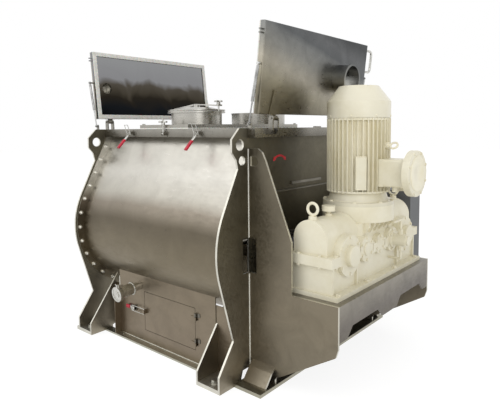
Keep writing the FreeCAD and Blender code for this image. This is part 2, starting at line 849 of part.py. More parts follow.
def make_flap():
    first, last = flap_angles()
    slack = math.degrees(flap_gap / trough_r)
    half = flap_length / 2 - flap_gap
    leaf = flap_segment(trough_r - trough_t, trough_r, first + slack, last - slack, -half, half)
    y, z = flap_shaft_centre()
    x0 = idle_outer - flap_drive_l + 12
    shaft = rod(X, (x0, -y, z), flap_bracket_x + 30 - x0, flap_shaft_r)
    ribs = []
    for x in (-half + 20, -6, half - 32):
        outline = [(-y - 16, z - 10), (-y + 8, z - 18), (-shaft_half + 90, shaft_z - trough_r - 16),
                   (-shaft_half + 110, shaft_z - trough_r + 12), (-shaft_half - 118, z + 60),
                   (-y + 12, z + 16)]
        rib = prism_yz(outline, x, x + 12).cut(trough_core(1.0))
        rib = rib.fuse(prism_yz([(-shaft_half - 112, z - 4), (-shaft_half + 88, z - 4),
                                 (-shaft_half + 60, 420), (-shaft_half - 60, 420)], x, x + 12)
                       .cut(trough_core(-0.001)))
        ribs.append(rib)
    return fuse(leaf, shaft, *ribs)


def make_flap_drives():
    y, z = flap_shaft_centre()
    solids = []
    for x in (-flap_bracket_x - 12, flap_bracket_x):
        hanger = prism_yz([(-y - 26, z + 50), (-y - 26, z - 10), (-y - 8, z - 26), (-y + 8, z - 26),
                           (-y + 22, z - 10), (-y + 22, z + 60)], x, x + 12)
        hanger = hanger.cut([trough_core(0),
                             rod(X, (x - 1, -y, z), 14, flap_shaft_r + running_gap)])
        solids.append(hanger)
    x0 = idle_outer - flap_drive_l
    body = box(x0, idle_outer, -y - 46, -y + 46, z - 52, z + 52)
    barrels = rod(Y, (x0 + 52, -y - 100, z - 20), 200, 34)
    actuator = fuse(body, barrels).cut(rod(X, (x0 + 11.5, -y, z), flap_drive_l, flap_shaft_r + running_gap))
    solids.append(actuator)
    return group(solids + [mirrored(solid) for solid in solids])


# Drive-end side plates, platform and pads

def side_outline():
    x0 = drive_face
    end = drive_face + shelf_reach
    return [(x0, side_top), (x0 + 70, side_top), (x0 + 100, side_top - 20), (x0 + 122, side_top - 60),
            (x0 + 304, 868), (x0 + 304, shelf_z), (end, shelf_z), (end, 341), (x0 + 584, 293),
            (x0 + 227, 76), (x0 + 196, 62), (x0 + 186, 46), (x0 + 186, pad_t), (x0 + 22, pad_t),
            (x0 + 22, 64), (x0 + 14, 74), (x0, 76)]


def make_side_plates():
    plate = prism_xz(side_outline(), -side_half, -side_half + side_t)
    window = box(drive_face - 1, drive_face + 55, -side_half - 1, -side_half + side_t + 1, 647, 852)
    slot = fuse(rod(Y, (drive_face + 43, -side_half - 1, 1306), side_t + 2, 28),
                box(drive_face + 15, drive_face + 43, -side_half - 1, -side_half + side_t + 1, 1278, 1334))
    flare = [(-side_half, 124), (-side_half - 34, 96), (-side_half - flare_w, pad_t + 8),
             (-side_half - flare_w, pad_t), (-side_half - flare_w + 12, pad_t), (-side_half - 26, 86),
             (-side_half + 2, 108)]
    flare = prism_yz(flare, drive_face + 22, drive_face + 186)
    return both_sides(fuse(plate.cut([window, slot]), flare))


def make_base_rail():
    """Rail on the floor under the drive-end side plates, with the wall that closes the chute."""
    rail = box(drive_face, drive_face + rail_w, -rail_half, rail_half, 0, pad_t)
    inner = side_half - side_t
    wall = box(drive_face, drive_face + 8, -inner, inner, chute_gap, 299)
    return [rail, wall]


def make_platform():
    inner = side_half - side_t
    end = drive_face + shelf_reach
    top = box(drive_face, end, -inner, inner, shelf_z - shelf_t, shelf_z)
    apron = box(end - 12, end, -inner, inner, 372, shelf_z - shelf_t)
    cuts = []
    for y0, y1 in ((-520, -90), (100, 530)):
        cuts.append(prism_yz([(y0, 371), (y0 + 60, 428), (y1 - 60, 428), (y1, 371)], end - 13, end + 1))
    apron = apron.cut(cuts)
    beams = []
    for y in (-430, 0, 430):
        outline = [(drive_face, shelf_z - shelf_t), (end - 12, shelf_z - shelf_t), (end - 12, 440),
                   (drive_face, 300)]
        beams.append(prism_xz(outline, y - 8, y + 8))
    holes = [rod(Z, (x, y, shelf_z - shelf_t - 1), shelf_t + 2, foot_hole_r)
             for x, y in unit_bolt_places()]
    return group([fuse(top, apron, *beams).cut(holes)] + make_base_rail())


def make_end_wall_bars():
    """Slim bars welded across the drive end plate's outer face."""
    inner = side_half - side_t
    rail = box(drive_face, drive_face + 26, -inner, inner, 1100, 1108)
    slim = box(drive_face, drive_face + 10, -195, 154, 1134, 1150)
    return [rail, slim]


# Shaft housings at both ends of the trough

def bearing_seats():
    seats = []
    for side in (-1, 1):
        centre = (idle_outer - 16, side * shaft_half, shaft_z)
        seats += ring_points(centre, 88, 4, 45)
    return seats


def seal_seats():
    seats = []
    for side in (-1, 1):
        centre = (drive_face + 16, side * shaft_half, shaft_z)
        seats += ring_points(centre, 84, 4, 45)
    return seats


def make_shaft_housings():
    solids = []
    for side in (-1, 1):
        y = side * shaft_half
        bearing = fuse(rod(X, (idle_outer - 16, y, shaft_z), 16, 108),
                       rod(X, (idle_outer - 72, y, shaft_z), 58, 74),
                       rod(X, (idle_outer - 82, y, shaft_z), 12, 60))
        bearing = bearing.cut(rod(X, (idle_outer - 74, y, shaft_z), 90, shaft_r + running_gap))
        gland = fuse(rod(X, (drive_face, y, shaft_z), 16, 104),
                     rod(X, (drive_face + 14, y, shaft_z), 58, 70),
                     rod(X, (drive_face + 50, y, shaft_z), 12, 84))
        gland = gland.cut(rod(X, (drive_face - 1, y, shaft_z), 90, shaft_r + running_gap))
        solids.append(drill(bearing, [s for s in bearing_seats() if s[1] * side > 0], X * -1, 16, 6))
        solids.append(drill(gland, [s for s in seal_seats() if s[1] * side > 0], X, 16, 6))
    for seat in bearing_seats():
        solids.append(bolt(X * -1, seat, 16 + end_plate_t, 6))
    for seat in seal_seats():
        solids.append(bolt(X, seat, 16 + end_plate_t, 6))
    return group(solids)


# Agitators

coupling_x = drive_face + 134.0
output_x0 = coupling_x + 1.0


def paddle_pair(x, angle):
    """Two opposite paddles on one clamped collar round the front shaft."""
    centre = (x, -shaft_half, shaft_z)
    solids = [rod(X, (x - 32, -shaft_half, shaft_z), 64, shaft_r + 17)]
    for turn in (0, 180):
        arm = rod(Z, centre, paddle_tip_r - 40, arm_r)
        blade = box(x - blade_w / 2, x + blade_w / 2, -shaft_half - blade_t / 2, -shaft_half + blade_t / 2,
                    shaft_z + paddle_tip_r - blade_h, shaft_z + paddle_tip_r + 20)
        blade = turned(blade, centre, Z, blade_angle if turn else 180 - blade_angle)
        piece = fuse(arm, blade)
        solids.append(turned(piece, centre, X, angle + turn))
    sweep = rod(X, (x - 200, -shaft_half, shaft_z), 400, paddle_tip_r)
    pair = fuse(*solids).common(sweep)
    return pair.cut(rod(X, (x - 200, -shaft_half, shaft_z), 400, shaft_r))


def make_agitator(first):
    shaft = rod(X, (idle_outer - 72, -shaft_half, shaft_z), coupling_x - idle_outer + 72, shaft_r)
    middle = (idle_inner + drive_inner) / 2
    solids = [shaft]
    for i in range(paddle_stations):
        x = middle + (i - (paddle_stations - 1) / 2) * paddle_pitch
        solids.append(paddle_pair(x, first + 90 * i))
    return group(solids)


# Gears

def involute(angle):
    return math.tan(angle) - angle


def gear(teeth, module, centre_y, x0, width, bore, phase):
    """Spur gear on an axis along X, with one tooth centred at the phase angle."""
    pitch_r = teeth * module / 2
    pressure = math.radians(20)
    base_r = pitch_r * math.cos(pressure)
    tip_r = pitch_r + 0.85 * module
    root_r = pitch_r - 1.2 * module
    half_pitch = math.pi / 2 / teeth - gear_backlash / 2 / pitch_r
    steps = 4
    flank = []
    start_r = max(base_r, root_r)
    for i in range(steps + 1):
        radius = start_r + (tip_r - start_r) * i / steps
        angle = math.acos(min(1.0, base_r / radius))
        flank.append((radius, half_pitch + involute(pressure) - involute(angle)))
    if root_r < base_r:
        flank.insert(0, (root_r, flank[0][1]))
    points = []
    for tooth in range(teeth):
        middle = phase + 2 * math.pi * tooth / teeth
        for radius, half in flank:
            points.append((radius, middle - half))
        for radius, half in reversed(flank):
            points.append((radius, middle + half))
    outline = [(centre_y + r * math.cos(a), shaft_z + r * math.sin(a)) for r, a in points]
    body = prism_yz(outline, x0, x0 + width)
    return body.cut(rod(X, (x0 - 1, centre_y, shaft_z), width + 2, bore))


def bevel_gear(teeth, module, mate_teeth, face, hub_r, hub_l, bore, phase):
    """Straight bevel gear: apex at the origin, large end towards +Z."""
    pitch_r = teeth * module / 2
    cone_angle = math.atan2(teeth, mate_teeth)
    outer = pitch_r / math.sin(cone_angle)
    add = 0.8 * module
    ded = 1.2 * module
    c = math.cos(cone_angle)
    s = math.sin(cone_angle)

    def place(along, out):
        return along * s + out * c, along * c - out * s

    inner = outer - face
    k = inner / outer
    tip_out = place(outer, add)
    tip_in = place(inner, add * k)
    foot_out = place(outer, -ded * 2.2)
    foot_in = place(inner, -ded * 2.2 * k)
    back_z = max(tip_out[1], foot_out[1]) + hub_l
    profile = [(0, foot_in[1]), foot_in, tip_in, tip_out, foot_out, (hub_r, foot_out[1]), (hub_r, back_z),
               (0, back_z)]
    wire = Part.makePolygon([Vector(r, 0, z) for r, z in profile + [profile[0]]])
    blank = Part.Face(wire).revolve(Vector(0, 0, 0), Z, 360)
    slope = math.tan(math.radians(20))
    half = math.pi * module / 4 + bevel_backlash / 2

    def gap_wire(along):
        scale = along / outer
        corners = []
        for out, width in ((-ded, half - ded * slope), (add * 1.6, half + add * 1.6 * slope)):
            radius, z = place(along, out * scale)
            corners.append((radius, width * scale, z))
        low, high = corners
        points = [Vector(low[0], -low[1], low[2]), Vector(high[0], -high[1], high[2]),
                  Vector(high[0], high[1], high[2]), Vector(low[0], low[1], low[2])]
        return Part.makePolygon(points + [points[0]])

    wedge = Part.makeLoft([gap_wire(inner * 0.9), gap_wire(outer * 1.12)], True, True)
    wedges = []
    for tooth in range(teeth):
        angle = math.degrees(phase) + 360.0 * (tooth + 0.5) / teeth
        wedges.append(turned(wedge, (0, 0, 0), Z, angle))
    solid = blank.cut(wedges)
    return solid.cut(rod(Z, (0, 0, -5), back_z + 10, bore))


out_gear_x = unit_x - 80.0
out_gear_w = 16.0
rear_input_x = unit_x - 62.0
rear_input_w = 12.0
input_x = unit_x + 69.0
input_w = 16.0
bevel_face = 26.0
shaft_end = unit_x + unit_half_x - 7.0


def make_output_drive():
    """Coupling, output shaft and output gear of the front shaft."""
    y = -shaft_half
    z = shaft_z
    shaft = rod(X, (output_x0, y, z), shaft_end - output_x0, shaft_r)
    hub = fuse(rod(X, (coupling_x - 52, y, z), 104, 64), rod(X, (coupling_x - 26, y, z), 24, 96),
               rod(X, (coupling_x + 2, y, z), 24, 96), rod(X, (coupling_x - 4, y, z), 8, 80))
    hub = hub.cut(rod(X, (coupling_x - 60, y, z), 120, shaft_r))
    wheel = gear(out_teeth, out_module, y, out_gear_x, out_gear_w, shaft_r, 0)
    return shaft, hub, wheel


def make_front_output():
    return group(list(make_output_drive()))


def make_rear_output():
    shaft, hub, _ = make_output_drive()
    wheel = gear(out_teeth, out_module, shaft_half, out_gear_x, out_gear_w, shaft_r,
                 math.pi + math.pi / out_teeth)
    return group([mirrored(shaft), mirrored(hub), wheel])


def idler_shaft(y):
    x0 = unit_x - unit_half_x + 10
    return rod(X, (x0, y, shaft_z), shaft_end - x0, idler_shaft_r)


def make_front_idler():
    y = -idler_half
    solids = [idler_shaft(y)]
    solids.append(gear(out_pinion_teeth, out_module, y, out_gear_x, out_gear_w, idler_shaft_r,
                       math.pi + math.pi / out_pinion_teeth))
    solids.append(gear(input_teeth, input_module, y, input_x, input_w, idler_shaft_r,
                       math.pi / input_teeth))
    return group(solids)


def make_rear_idler():
    y = idler_half
    solids = [idler_shaft(y)]
    solids.append(gear(out_pinion_teeth, out_module, y, out_gear_x, out_gear_w, idler_shaft_r, 0))
    solids.append(gear(input_teeth, input_module, y, rear_input_x, rear_input_w, idler_shaft_r,
                       math.pi + math.pi / input_teeth))
    return group(solids)


def make_crown():
    """Bevel crown on the motor pinion's drive-end side."""
    crown = bevel_gear(bevel_teeth, bevel_module, bevel_pinion_teeth, bevel_face, 48, 6,
                       input_shaft_r, math.radians(180))
    crown.rotate(Vector(0, 0, 0), Y, 90)
    crown.translate(Vector(unit_x, 0, shaft_z))
    return crown


def make_front_input():
    """Shaft driven by the crown on the drive-end side, which turns the front idler."""
    x0 = unit_x + 24
    shaft = rod(X, (x0, 0, shaft_z), shaft_end - x0, input_shaft_r)
    pinion = gear(input_pinion_teeth, input_module, 0, input_x, input_w, input_shaft_r, math.pi)
    return group([shaft, pinion, make_crown()])


def make_rear_input():
    """Shaft driven by the crown on the trough side, which turns the rear idler."""
    x0 = unit_x - unit_half_x + 10
    shaft = rod(X, (x0, 0, shaft_z), unit_x - 24 - x0, input_shaft_r)
    pinion = gear(input_pinion_teeth, input_module, 0, rear_input_x, rear_input_w, input_shaft_r, 0)
    return group([shaft, pinion, make_crown().mirror(Vector(unit_x, 0, 0), X)])


# Gear unit housing

def unit_bolt_places():
    places = []
    for x in (unit_x - unit_foot_x + 19, unit_x + unit_foot_x - 19):
        for y in (-unit_foot_y + 42, -unit_foot_y / 3, unit_foot_y / 3, unit_foot_y - 42):
            places.append((x, y))
    return places


def vault(inset):
    """Round-topped block of the upper housing, shrunk by an inset."""
    radius = vault_r - inset
    spring = vault_top - vault_r
    side_y = unit_half_y - inset
    a = Vector(unit_x - radius, -side_y, unit_z - 1 * (inset > 0))
    b = Vector(unit_x - radius, -side_y, spring)
    c = Vector(unit_x, -side_y, spring + radius)
    d = Vector(unit_x + radius, -side_y, spring)
    e = Vector(unit_x + radius, -side_y, unit_z - 1 * (inset > 0))
    edges = [Part.makeLine(a, b), Part.Arc(b, c, d).toShape(), Part.makeLine(d, e), Part.makeLine(e, a)]
    return face_of(edges).extrude(Y * (2 * side_y))


def bearing_places():
    """Distance from the middle plane, first X, shaft radius and outer radius of each bearing."""
    front = unit_x - unit_half_x
    back = unit_x + unit_half_x - 28
    rows = []
    for side in (-1, 1):
        rows.append((side * shaft_half, front, shaft_r, 80.0))
        rows.append((side * shaft_half, back, shaft_r, 80.0))
        rows.append((side * idler_half, front + 8, idler_shaft_r, 55.0))
        rows.append((side * idler_half, back, idler_shaft_r, 55.0))
    for x in (front + 8, front + 35, pedestal_x, back):
        rows.append((0.0, x, input_shaft_r, input_bearing_r))
    return rows


bearing_w = 22.0
input_bearing_r = 40.0


def unit_bosses():
    """Bearing bosses on both long sides of the housing."""
    face = unit_x + unit_half_x
    bosses = []
    for side in (-1, 1):
        bosses.append(rod(X, (face - 37, side * shaft_half, shaft_z), boss_x - face + 37, output_cover_r + 1))
        bosses.append(rod(X, (face - 37, side * idler_half, shaft_z), boss_x - face + 37, idler_cover_r + 1))
        bosses.append(rod(X, (unit_x - unit_half_x - 12, side * shaft_half, shaft_z), 48, 110))
        bosses.append(rod(X, (unit_x - unit_half_x, side * idler_half, shaft_z), 34, 70))
    bosses.append(rod(X, (unit_x - unit_half_x, 0, shaft_z), 59, 52))
    bosses.append(rod(X, (face - 37, 0, shaft_z), boss_x - face + 37, inner_cover_r + 1))
    return bosses


def unit_bores():
    """Bearing seats through the housing walls and the pedestal."""
    bores = []
    for y, x, _, outer in bearing_places():
        if x > unit_x + unit_half_x / 2:
            bores.append(rod(X, (x, y, shaft_z), boss_x + 1 - x, outer))
            bores.append(rod(X, (x - 20, y, shaft_z), 22, outer - 8))
        elif x > unit_x:
            bores.append(rod(X, (x - 1, y, shaft_z), pedestal_w + 2, outer))
        elif abs(y) == shaft_half:
            bores.append(rod(X, (x - 13, y, shaft_z), bearing_w + 13, outer))
            bores.append(rod(X, (x, y, shaft_z), bearing_w + 20, outer - 8))
        else:
            bores.append(rod(X, (x, y, shaft_z), bearing_w + 20, outer))
    return bores


def joint_bolt_places():
    places = []
    for side in (-1, 1):
        x = unit_x + side * (unit_half_x + joint_over / 2)
        rows = (78, 510) if side > 0 else (78, 235, 510)
        for y in rows:
            places += [(x, -y), (x, y)]
    for side in (-1, 1):
        for x in (unit_x - 70, unit_x + 70):
            places.append((x, side * (unit_half_y + joint_over / 2)))
    return places


joint_bolt_r = 6.0
foot_hole_r = 8.0
pedestal_x = unit_x + 51.0
pedestal_w = 16.0
pedestal_r = 56.0


def cover_room():
    """Room round the bearing covers, where the joint flange is cut back."""
    tools = []
    front = unit_x - unit_half_x - 12
    for side in (-1, 1):
        tools.append(rod(X, (boss_x, side * shaft_half, shaft_z), 60, output_cover_r + 1))
        tools.append(rod(X, (boss_x, side * idler_half, shaft_z), 60, idler_cover_r + 1))
        tools.append(rod(X * -1, (front, side * shaft_half, shaft_z), 60, 108))
    tools.append(rod(X, (boss_x, 0, shaft_z), 60, inner_cover_r + 1))
    return tools


def half_space(upper):
    """Everything round the gear unit above, or below, its joint."""
    reach = 1.5 * unit_half_y
    z0, z1 = (unit_z, unit_z + reach) if upper else (unit_z - reach, unit_z)
    return box(unit_x - reach, unit_x + reach, -reach, reach, z0, z1)


def make_case_lower():
    x0 = unit_x - unit_half_x
    x1 = unit_x + unit_half_x
    body = box(x0, x1, -unit_half_y, unit_half_y, shelf_z, unit_z)
    foot = box(unit_x - unit_foot_x, unit_x + unit_foot_x, -unit_foot_y, unit_foot_y, shelf_z,
               shelf_z + unit_foot_t)
    flange = box(x0 - joint_over, x1 + joint_over, -unit_half_y - joint_over, unit_half_y + joint_over,
                 joint_low, unit_z)
    ribs = []
    for side in (-1, 1):
        for y in (-538, -272, 272, 538):
            far = unit_x + side * (unit_half_x + 14)
            near = unit_x + side * (unit_half_x - 2)
            wide = sorted((near, far))
            ribs.append(box(wide[0], wide[1], y - 7, y + 7, shelf_z + unit_foot_t, joint_low))
    bosses = [boss.common(half_space(False)) for boss in unit_bosses()]
    case = fuse(body, foot, flange, *(ribs + bosses))
    room = box(x0 + unit_wall, x1 - unit_wall, -unit_half_y + unit_wall, unit_half_y - unit_wall,
               shelf_z + 17, unit_z + 1)
    case = case.cut([room])
    pedestal = fuse(box(pedestal_x, pedestal_x + pedestal_w, -pedestal_r, pedestal_r, shelf_z + 10, unit_z),
                    rod(X, (pedestal_x, 0, shaft_z), pedestal_w, pedestal_r))
    inner = [boss.common(half_space(False)) for boss in unit_bosses()]
    case = fuse(case, pedestal, *inner).cut(unit_bores())
    holes = [rod(Z, (x, y, shelf_z - 1), unit_foot_t + 2, foot_hole_r) for x, y in unit_bolt_places()]
    holes += [rod(Z, (x, y, joint_low - 1), unit_z - joint_low + 2, joint_bolt_r)
              for x, y in joint_bolt_places()]
    return case.cut(holes + cover_room())


def tower(inset):
    half_x = unit_half_x - 4 - inset
    half_y = tower_half_y - inset
    block = box(unit_x - half_x, unit_x + half_x, -half_y, half_y, unit_z - 1 * (inset > 0),
                adapter_z0 - inset)
    corners = [edge for edge in block.Edges if abs(edge.tangentAt(0).z) > 0.9]
    return block.makeFillet(40 - inset, corners)


def make_case_upper():
    x0 = unit_x - unit_half_x
    x1 = unit_x + unit_half_x
    flange = box(x0 - joint_over, x1 + joint_over, -unit_half_y - joint_over, unit_half_y + joint_over,
                 unit_z, joint_high)
    ribs = []
    for side in (-1, 1):
        for y in (-160, -96, -32, 32, 96, 160):
            near = unit_x + side * 120
            far = unit_x + side * 166
            low = 868.0 if side > 0 else joint_high - 5
            outline = [(near, low), (near + side * 16, low), (far, adapter_z0 - 24), (far, adapter_z0),
                       (near, adapter_z0)]
            ribs.append(prism_xz(outline, y - 6, y + 6))
    bosses = [boss.common(half_space(True)) for boss in unit_bosses()]
    seat = rod(Z, (unit_x, 0, adapter_z0), 200, adapter_r + 4)
    wall = rod(Z, (unit_x, 0, adapter_z0 - unit_wall), 200, adapter_r + 4 + unit_wall)
    case = fuse(vault(0).cut(seat), tower(0), flange, *(ribs + bosses))
    case = case.cut([vault(unit_wall).cut(wall), tower(unit_wall)])
    inner = [boss.common(half_space(True)) for boss in unit_bosses()]
    case = fuse(case, *inner).cut(unit_bores())
    hole = rod(Z, (unit_x, 0, adapter_z0 - 40), 80, 100)
    pedestal = rod(X, (pedestal_x - 1, 0, shaft_z), pedestal_w + 2, pedestal_r + 2)
    holes = [rod(Z, (x, y, unit_z - 1), joint_high - unit_z + 2, joint_bolt_r)
             for x, y in joint_bolt_places()]
    return case.cut([hole, pedestal] + holes + cover_room())


def make_bearings():
    """Rolling bearings of the gear unit and the motor, each drawn as one ring."""
    rings = []
    for y, x, inner, outer in bearing_places():
        width = pedestal_w if x == pedestal_x else bearing_w
        rings.append(tube(X, (x, y, shaft_z), width, outer, inner + running_gap))
    for z, inner, outer in motor_bearing_places():
        rings.append(tube(Z, (unit_x, 0, z), motor_bearing_w, outer, inner + running_gap))
    return rings


cover_bolt_r = 5.0


def cover(y, radius, spigot, cap_r, cap_l):
    """Bearing cover on the long side away from the trough, with its bolts."""
    plate = fuse(rod(X, (boss_x, y, shaft_z), cover_flange_t, radius),
                 rod(X, (unit_x + unit_half_x - 6, y, shaft_z), boss_x - unit_x - unit_half_x + 7, spigot))
    if cap_l:
        cap = rod(X, (boss_x, y, shaft_z), cover_flange_t + cap_l, cap_r)
        edge = [e for e in cap.Edges if e.BoundBox.XMin > boss_x + cover_flange_t + cap_l - 1
                and e.Length > cap_r * 3]
        plate = fuse(plate, cap.makeFillet(6, edge[:1]))
    seat_r = radius - cover_bolt_r * 2.3
    seats = ring_points((boss_x + cover_flange_t, y, shaft_z), seat_r, 6, 30)
    plate = drill(plate, seats, X, cover_flange_t, cover_bolt_r)
    return plate, [bolt(X, seat, cover_flange_t, cover_bolt_r) for seat in seats]


def make_covers():
    covers = []
    bolts = []
    rows = [(-shaft_half, output_cover_r, 80.0, output_cap_r, 34.0),
            (shaft_half, output_cover_r, 80.0, output_cap_r, 34.0),
            (-idler_half, idler_cover_r, 55.0, 40.0, 8.0), (idler_half, idler_cover_r, 55.0, 0.0, 0.0),
            (0.0, inner_cover_r, input_bearing_r, 0.0, 0.0)]
    for y, radius, spigot, cap_r, cap_l in rows:
        piece, fasteners = cover(y, radius - 1, spigot - 0.1, cap_r, cap_l)
        covers.append(piece)
        bolts += fasteners
    face = unit_x - unit_half_x - 12
    for side in (-1, 1):
        y = side * shaft_half
        ring = fuse(rod(X, (face - 12, y, shaft_z), 12, 106), rod(X, (face - 1, y, shaft_z), 12, 80 - 0.1))
        ring = ring.cut(rod(X, (face - 20, y, shaft_z), 40, shaft_r + running_gap))
        seats = ring_points((face - 12, y, shaft_z), 93, 6, 30)
        covers.append(drill(ring, seats, X * -1, 12, cover_bolt_r))
        bolts += [bolt(X * -1, seat, 12, cover_bolt_r) for seat in seats]
    return covers, bolts


def make_unit_bolts():
    bolts = []
    for x, y in unit_bolt_places():
        bolts.append(bolt_and_nut(Z, (x, y, shelf_z + unit_foot_t), unit_foot_t + shelf_t, foot_hole_r))
    for x, y in joint_bolt_places():
        bolts.append(bolt_and_nut(Z, (x, y, joint_high), joint_high - joint_low, joint_bolt_r))
    return bolts


eye_y = 518.0
eye_size = 24.0


def eyebolt(x, y, z, size):
    """Lifting eye: a ring of the given inner radius on a collar."""
    ring = Part.makeTorus(size + size * 0.35, size * 0.35, Vector(x, y, z + size * 2.15), Y)
    stem = fuse(rod(Z, (x, y, z), size * 0.5, size * 0.95), rod(Z, (x, y, z), size * 0.95, size * 0.5))
    return fuse(ring, stem)


def make_eyebolts():
    eyes = []
    for y in (-eye_y, eye_y):
        pad = rod(Z, (unit_x, y, vault_top - 8), 14, eye_size)
        eyes.append(fuse(eyebolt(unit_x, y, vault_top + 6, eye_size), pad.cut(vault(0))))
    return eyes


def make_breather():
    x = unit_x
    y = -352
    base = rod(Z, (x, y, vault_top - 6), 16, 20).cut(vault(0))
    stem = rod(Z, (x, y, vault_top + 10), 22, 12)
    cap = rod(Z, (x, y, vault_top + 26), 30, 38)
    return fuse(base, stem, cap)


# Oil pump and pipes on the drive-end face of the gear unit

pump_face = boss_x + cover_flange_t
pipe_r = 7.0


def pipe_run(points, radius):
    """Round pipe through the points, with a ball at every bend."""
    pieces = []
    for a, b in zip(points[:-1], points[1:]):
        start = Vector(*a)
        way = Vector(*b) - start
        pieces.append(rod(way, a, way.Length, radius))
    for point in points[1:-1]:
        pieces.append(Part.makeSphere(radius, Vector(*point)))
    return fuse(*pieces)


def make_oil_pump():
    y = idler_half
    body = fuse(rod(X, (pump_face, y, shaft_z), 12, 52), rod(X, (pump_face + 12, y, shaft_z), 84, 38),
                rod(X, (pump_face + 96, y, shaft_z), 14, 30))
    ports = [rod(way, (pump_face + 56, y, shaft_z), 52, 15) for way in (Z, Z * -1)]
    return fuse(body, *ports)


def make_oil_pipes():
    y = idler_half
    x = pump_face + 56
    top = (x, y, shaft_z + 52)
    lift = [top, (x, y, shaft_z + 128), (x, 66, shaft_z + 128), (unit_x + vault_r - 12, 66, shaft_z + 128)]
    low = [(x, y, shaft_z - 52), (x, y, shaft_z - 122), (unit_x + unit_half_x - 4, y, shaft_z - 122)]
    case = [vault(0), tower(0),
            box(unit_x - unit_half_x, unit_x + unit_half_x, -unit_half_y, unit_half_y, shelf_z, unit_z)]
    pipes = [pipe_run(lift, pipe_r).cut(case), pipe_run(low, pipe_r).cut(case)]
    nuts = [hexagon(Z, (x, y, shaft_z + 52), 16, 26).cut(rod(Z, (x, y, shaft_z), 100, pipe_r)),
            hexagon(Z * -1, (x, y, shaft_z - 52), 16, 26).cut(rod(Z * -1, (x, y, shaft_z), 100, pipe_r))]
    return pipes + nuts


# Motor

motor_bearing_w = 20.0
rotor_r = 94.0
stator_r = 142.0
frame_bore_r = 148.0
motor_shaft_r = 25.0
shield_z = 1075.0
shield_t = 16.0
fan_z = 1600.0
plate_turn = 33.0
adapter_bolt_r = 6.0


def motor_bearing_places():
    """Z, shaft radius and outer radius of each bearing on the motor's axis."""
    return [(adapter_z0, motor_shaft_r, 52.0), (shield_z, motor_shaft_r, 52.0),
            (fins_z1 - 1.0, motor_shaft_r, 52.0)]


def ring_z(radius, count, first=0.0):
    places = []
    for i in range(count):
        angle = math.radians(first + 360.0 * i / count)
        places.append((unit_x + radius * math.cos(angle), radius * math.sin(angle)))
    return places


def make_adapter():
    body = rod(Z, (unit_x, 0, adapter_z0), adapter_z1 - adapter_z0, adapter_r)
    body = body.cut([rod(Z, (unit_x, 0, adapter_z0 + 28), 200, 150),
                     rod(Z, (unit_x, 0, adapter_z0 - 1), 40, 52)])
    holes = []
    for x, y in ring_z(adapter_r - 13, 8, 22.5):
        holes.append(rod(Z, (x, y, adapter_z0 - 1), 200, adapter_bolt_r))
    return body.cut(holes)


def make_adapter_bolts():
    bolts = []
    for x, y in ring_z(adapter_r - 13, 8, 22.5):
        bolts.append(bolt(Z, (x, y, adapter_z1 + 22), adapter_z1 + 22 - adapter_z0, adapter_bolt_r))
    return bolts


def make_motor_frame():
    """Ribbed motor frame with its flange and lower end shield."""
    step = 2 * math.pi / fin_count
    points = []
    for i in range(fin_count):
        angle = i * step
        half_root = fin_t / 2 / motor_core_r
        half_tip = fin_t / 2 / motor_r
        for radius, half in ((motor_core_r, -half_root), (motor_r, -half_tip), (motor_r, half_tip),
                             (motor_core_r, half_root)):
            a = angle + half
            points.append((unit_x + radius * math.cos(a), radius * math.sin(a)))
    ribbed = prism_xy(points, fins_z0, fins_z1)
    flange = rod(Z, (unit_x, 0, adapter_z1), 22, adapter_r)
    shield = cone(Z, (unit_x, 0, adapter_z1 + 20), fins_z0 - adapter_z1 - 20, motor_r - 8, motor_core_r + 4)
    rings = [rod(Z, (unit_x, 0, z), 12, motor_r - 6) for z in (fins_z0, fins_z1 - 12)]
    seat = box(unit_x + motor_core_r - 30, unit_x + motor_r + 8, -jbox_neck_half_y, jbox_neck_half_y,
               jbox_z - jbox_neck_half_z, jbox_z + jbox_neck_half_z)
    nameplate = box(unit_x - 32, unit_x + 32, -motor_r - 2, -motor_core_r + 10, jbox_z - 100, jbox_z + 100)
    nameplate = turned(nameplate, (unit_x, 0, 0), Z, plate_turn)
    body = fuse(ribbed, flange, shield, seat, nameplate, *rings)
    bore = [rod(Z, (unit_x, 0, shield_z + motor_bearing_w + 4), 1000, frame_bore_r),
            rod(Z, (unit_x, 0, adapter_z1 - 1), 40, 80), rod(Z, (unit_x, 0, shield_z - 40), 44, 80),
            rod(Z, (unit_x, 0, shield_z), 60, 52),
            rod(X, (unit_x + 100, 0, jbox_z), 120, 30)]
    holes = [rod(Z, (x, y, adapter_z1 - 1), 24, adapter_bolt_r) for x, y in ring_z(adapter_r - 13, 8, 22.5)]
    return body.cut(bore + holes)


def make_end_shield():
    """Upper end shield of the motor."""
    shield = fuse(rod(Z, (unit_x, 0, fins_z1), shield_t, motor_r - 8),
                  rod(Z, (unit_x, 0, fins_z1 - 10), 12, frame_bore_r - 0.2),
                  rod(Z, (unit_x, 0, fins_z1 + 14), 12, 70))
    return shield.cut([rod(Z, (unit_x, 0, fins_z1 - 20), 19 + motor_bearing_w, 52),
                       rod(Z, (unit_x, 0, fins_z1 + 10), 60, motor_shaft_r + 1)])


def make_stator():
    core = tube(Z, (unit_x, 0, fins_z0 + 80), fins_z1 - fins_z0 - 170, frame_bore_r, rotor_r + 1)
    ends = [tube(Z, (unit_x, 0, fins_z0 + 40), 40, stator_r - 8, rotor_r + 10),
            tube(Z, (unit_x, 0, fins_z1 - 90), 40, stator_r - 8, rotor_r + 10)]
    return [core] + ends


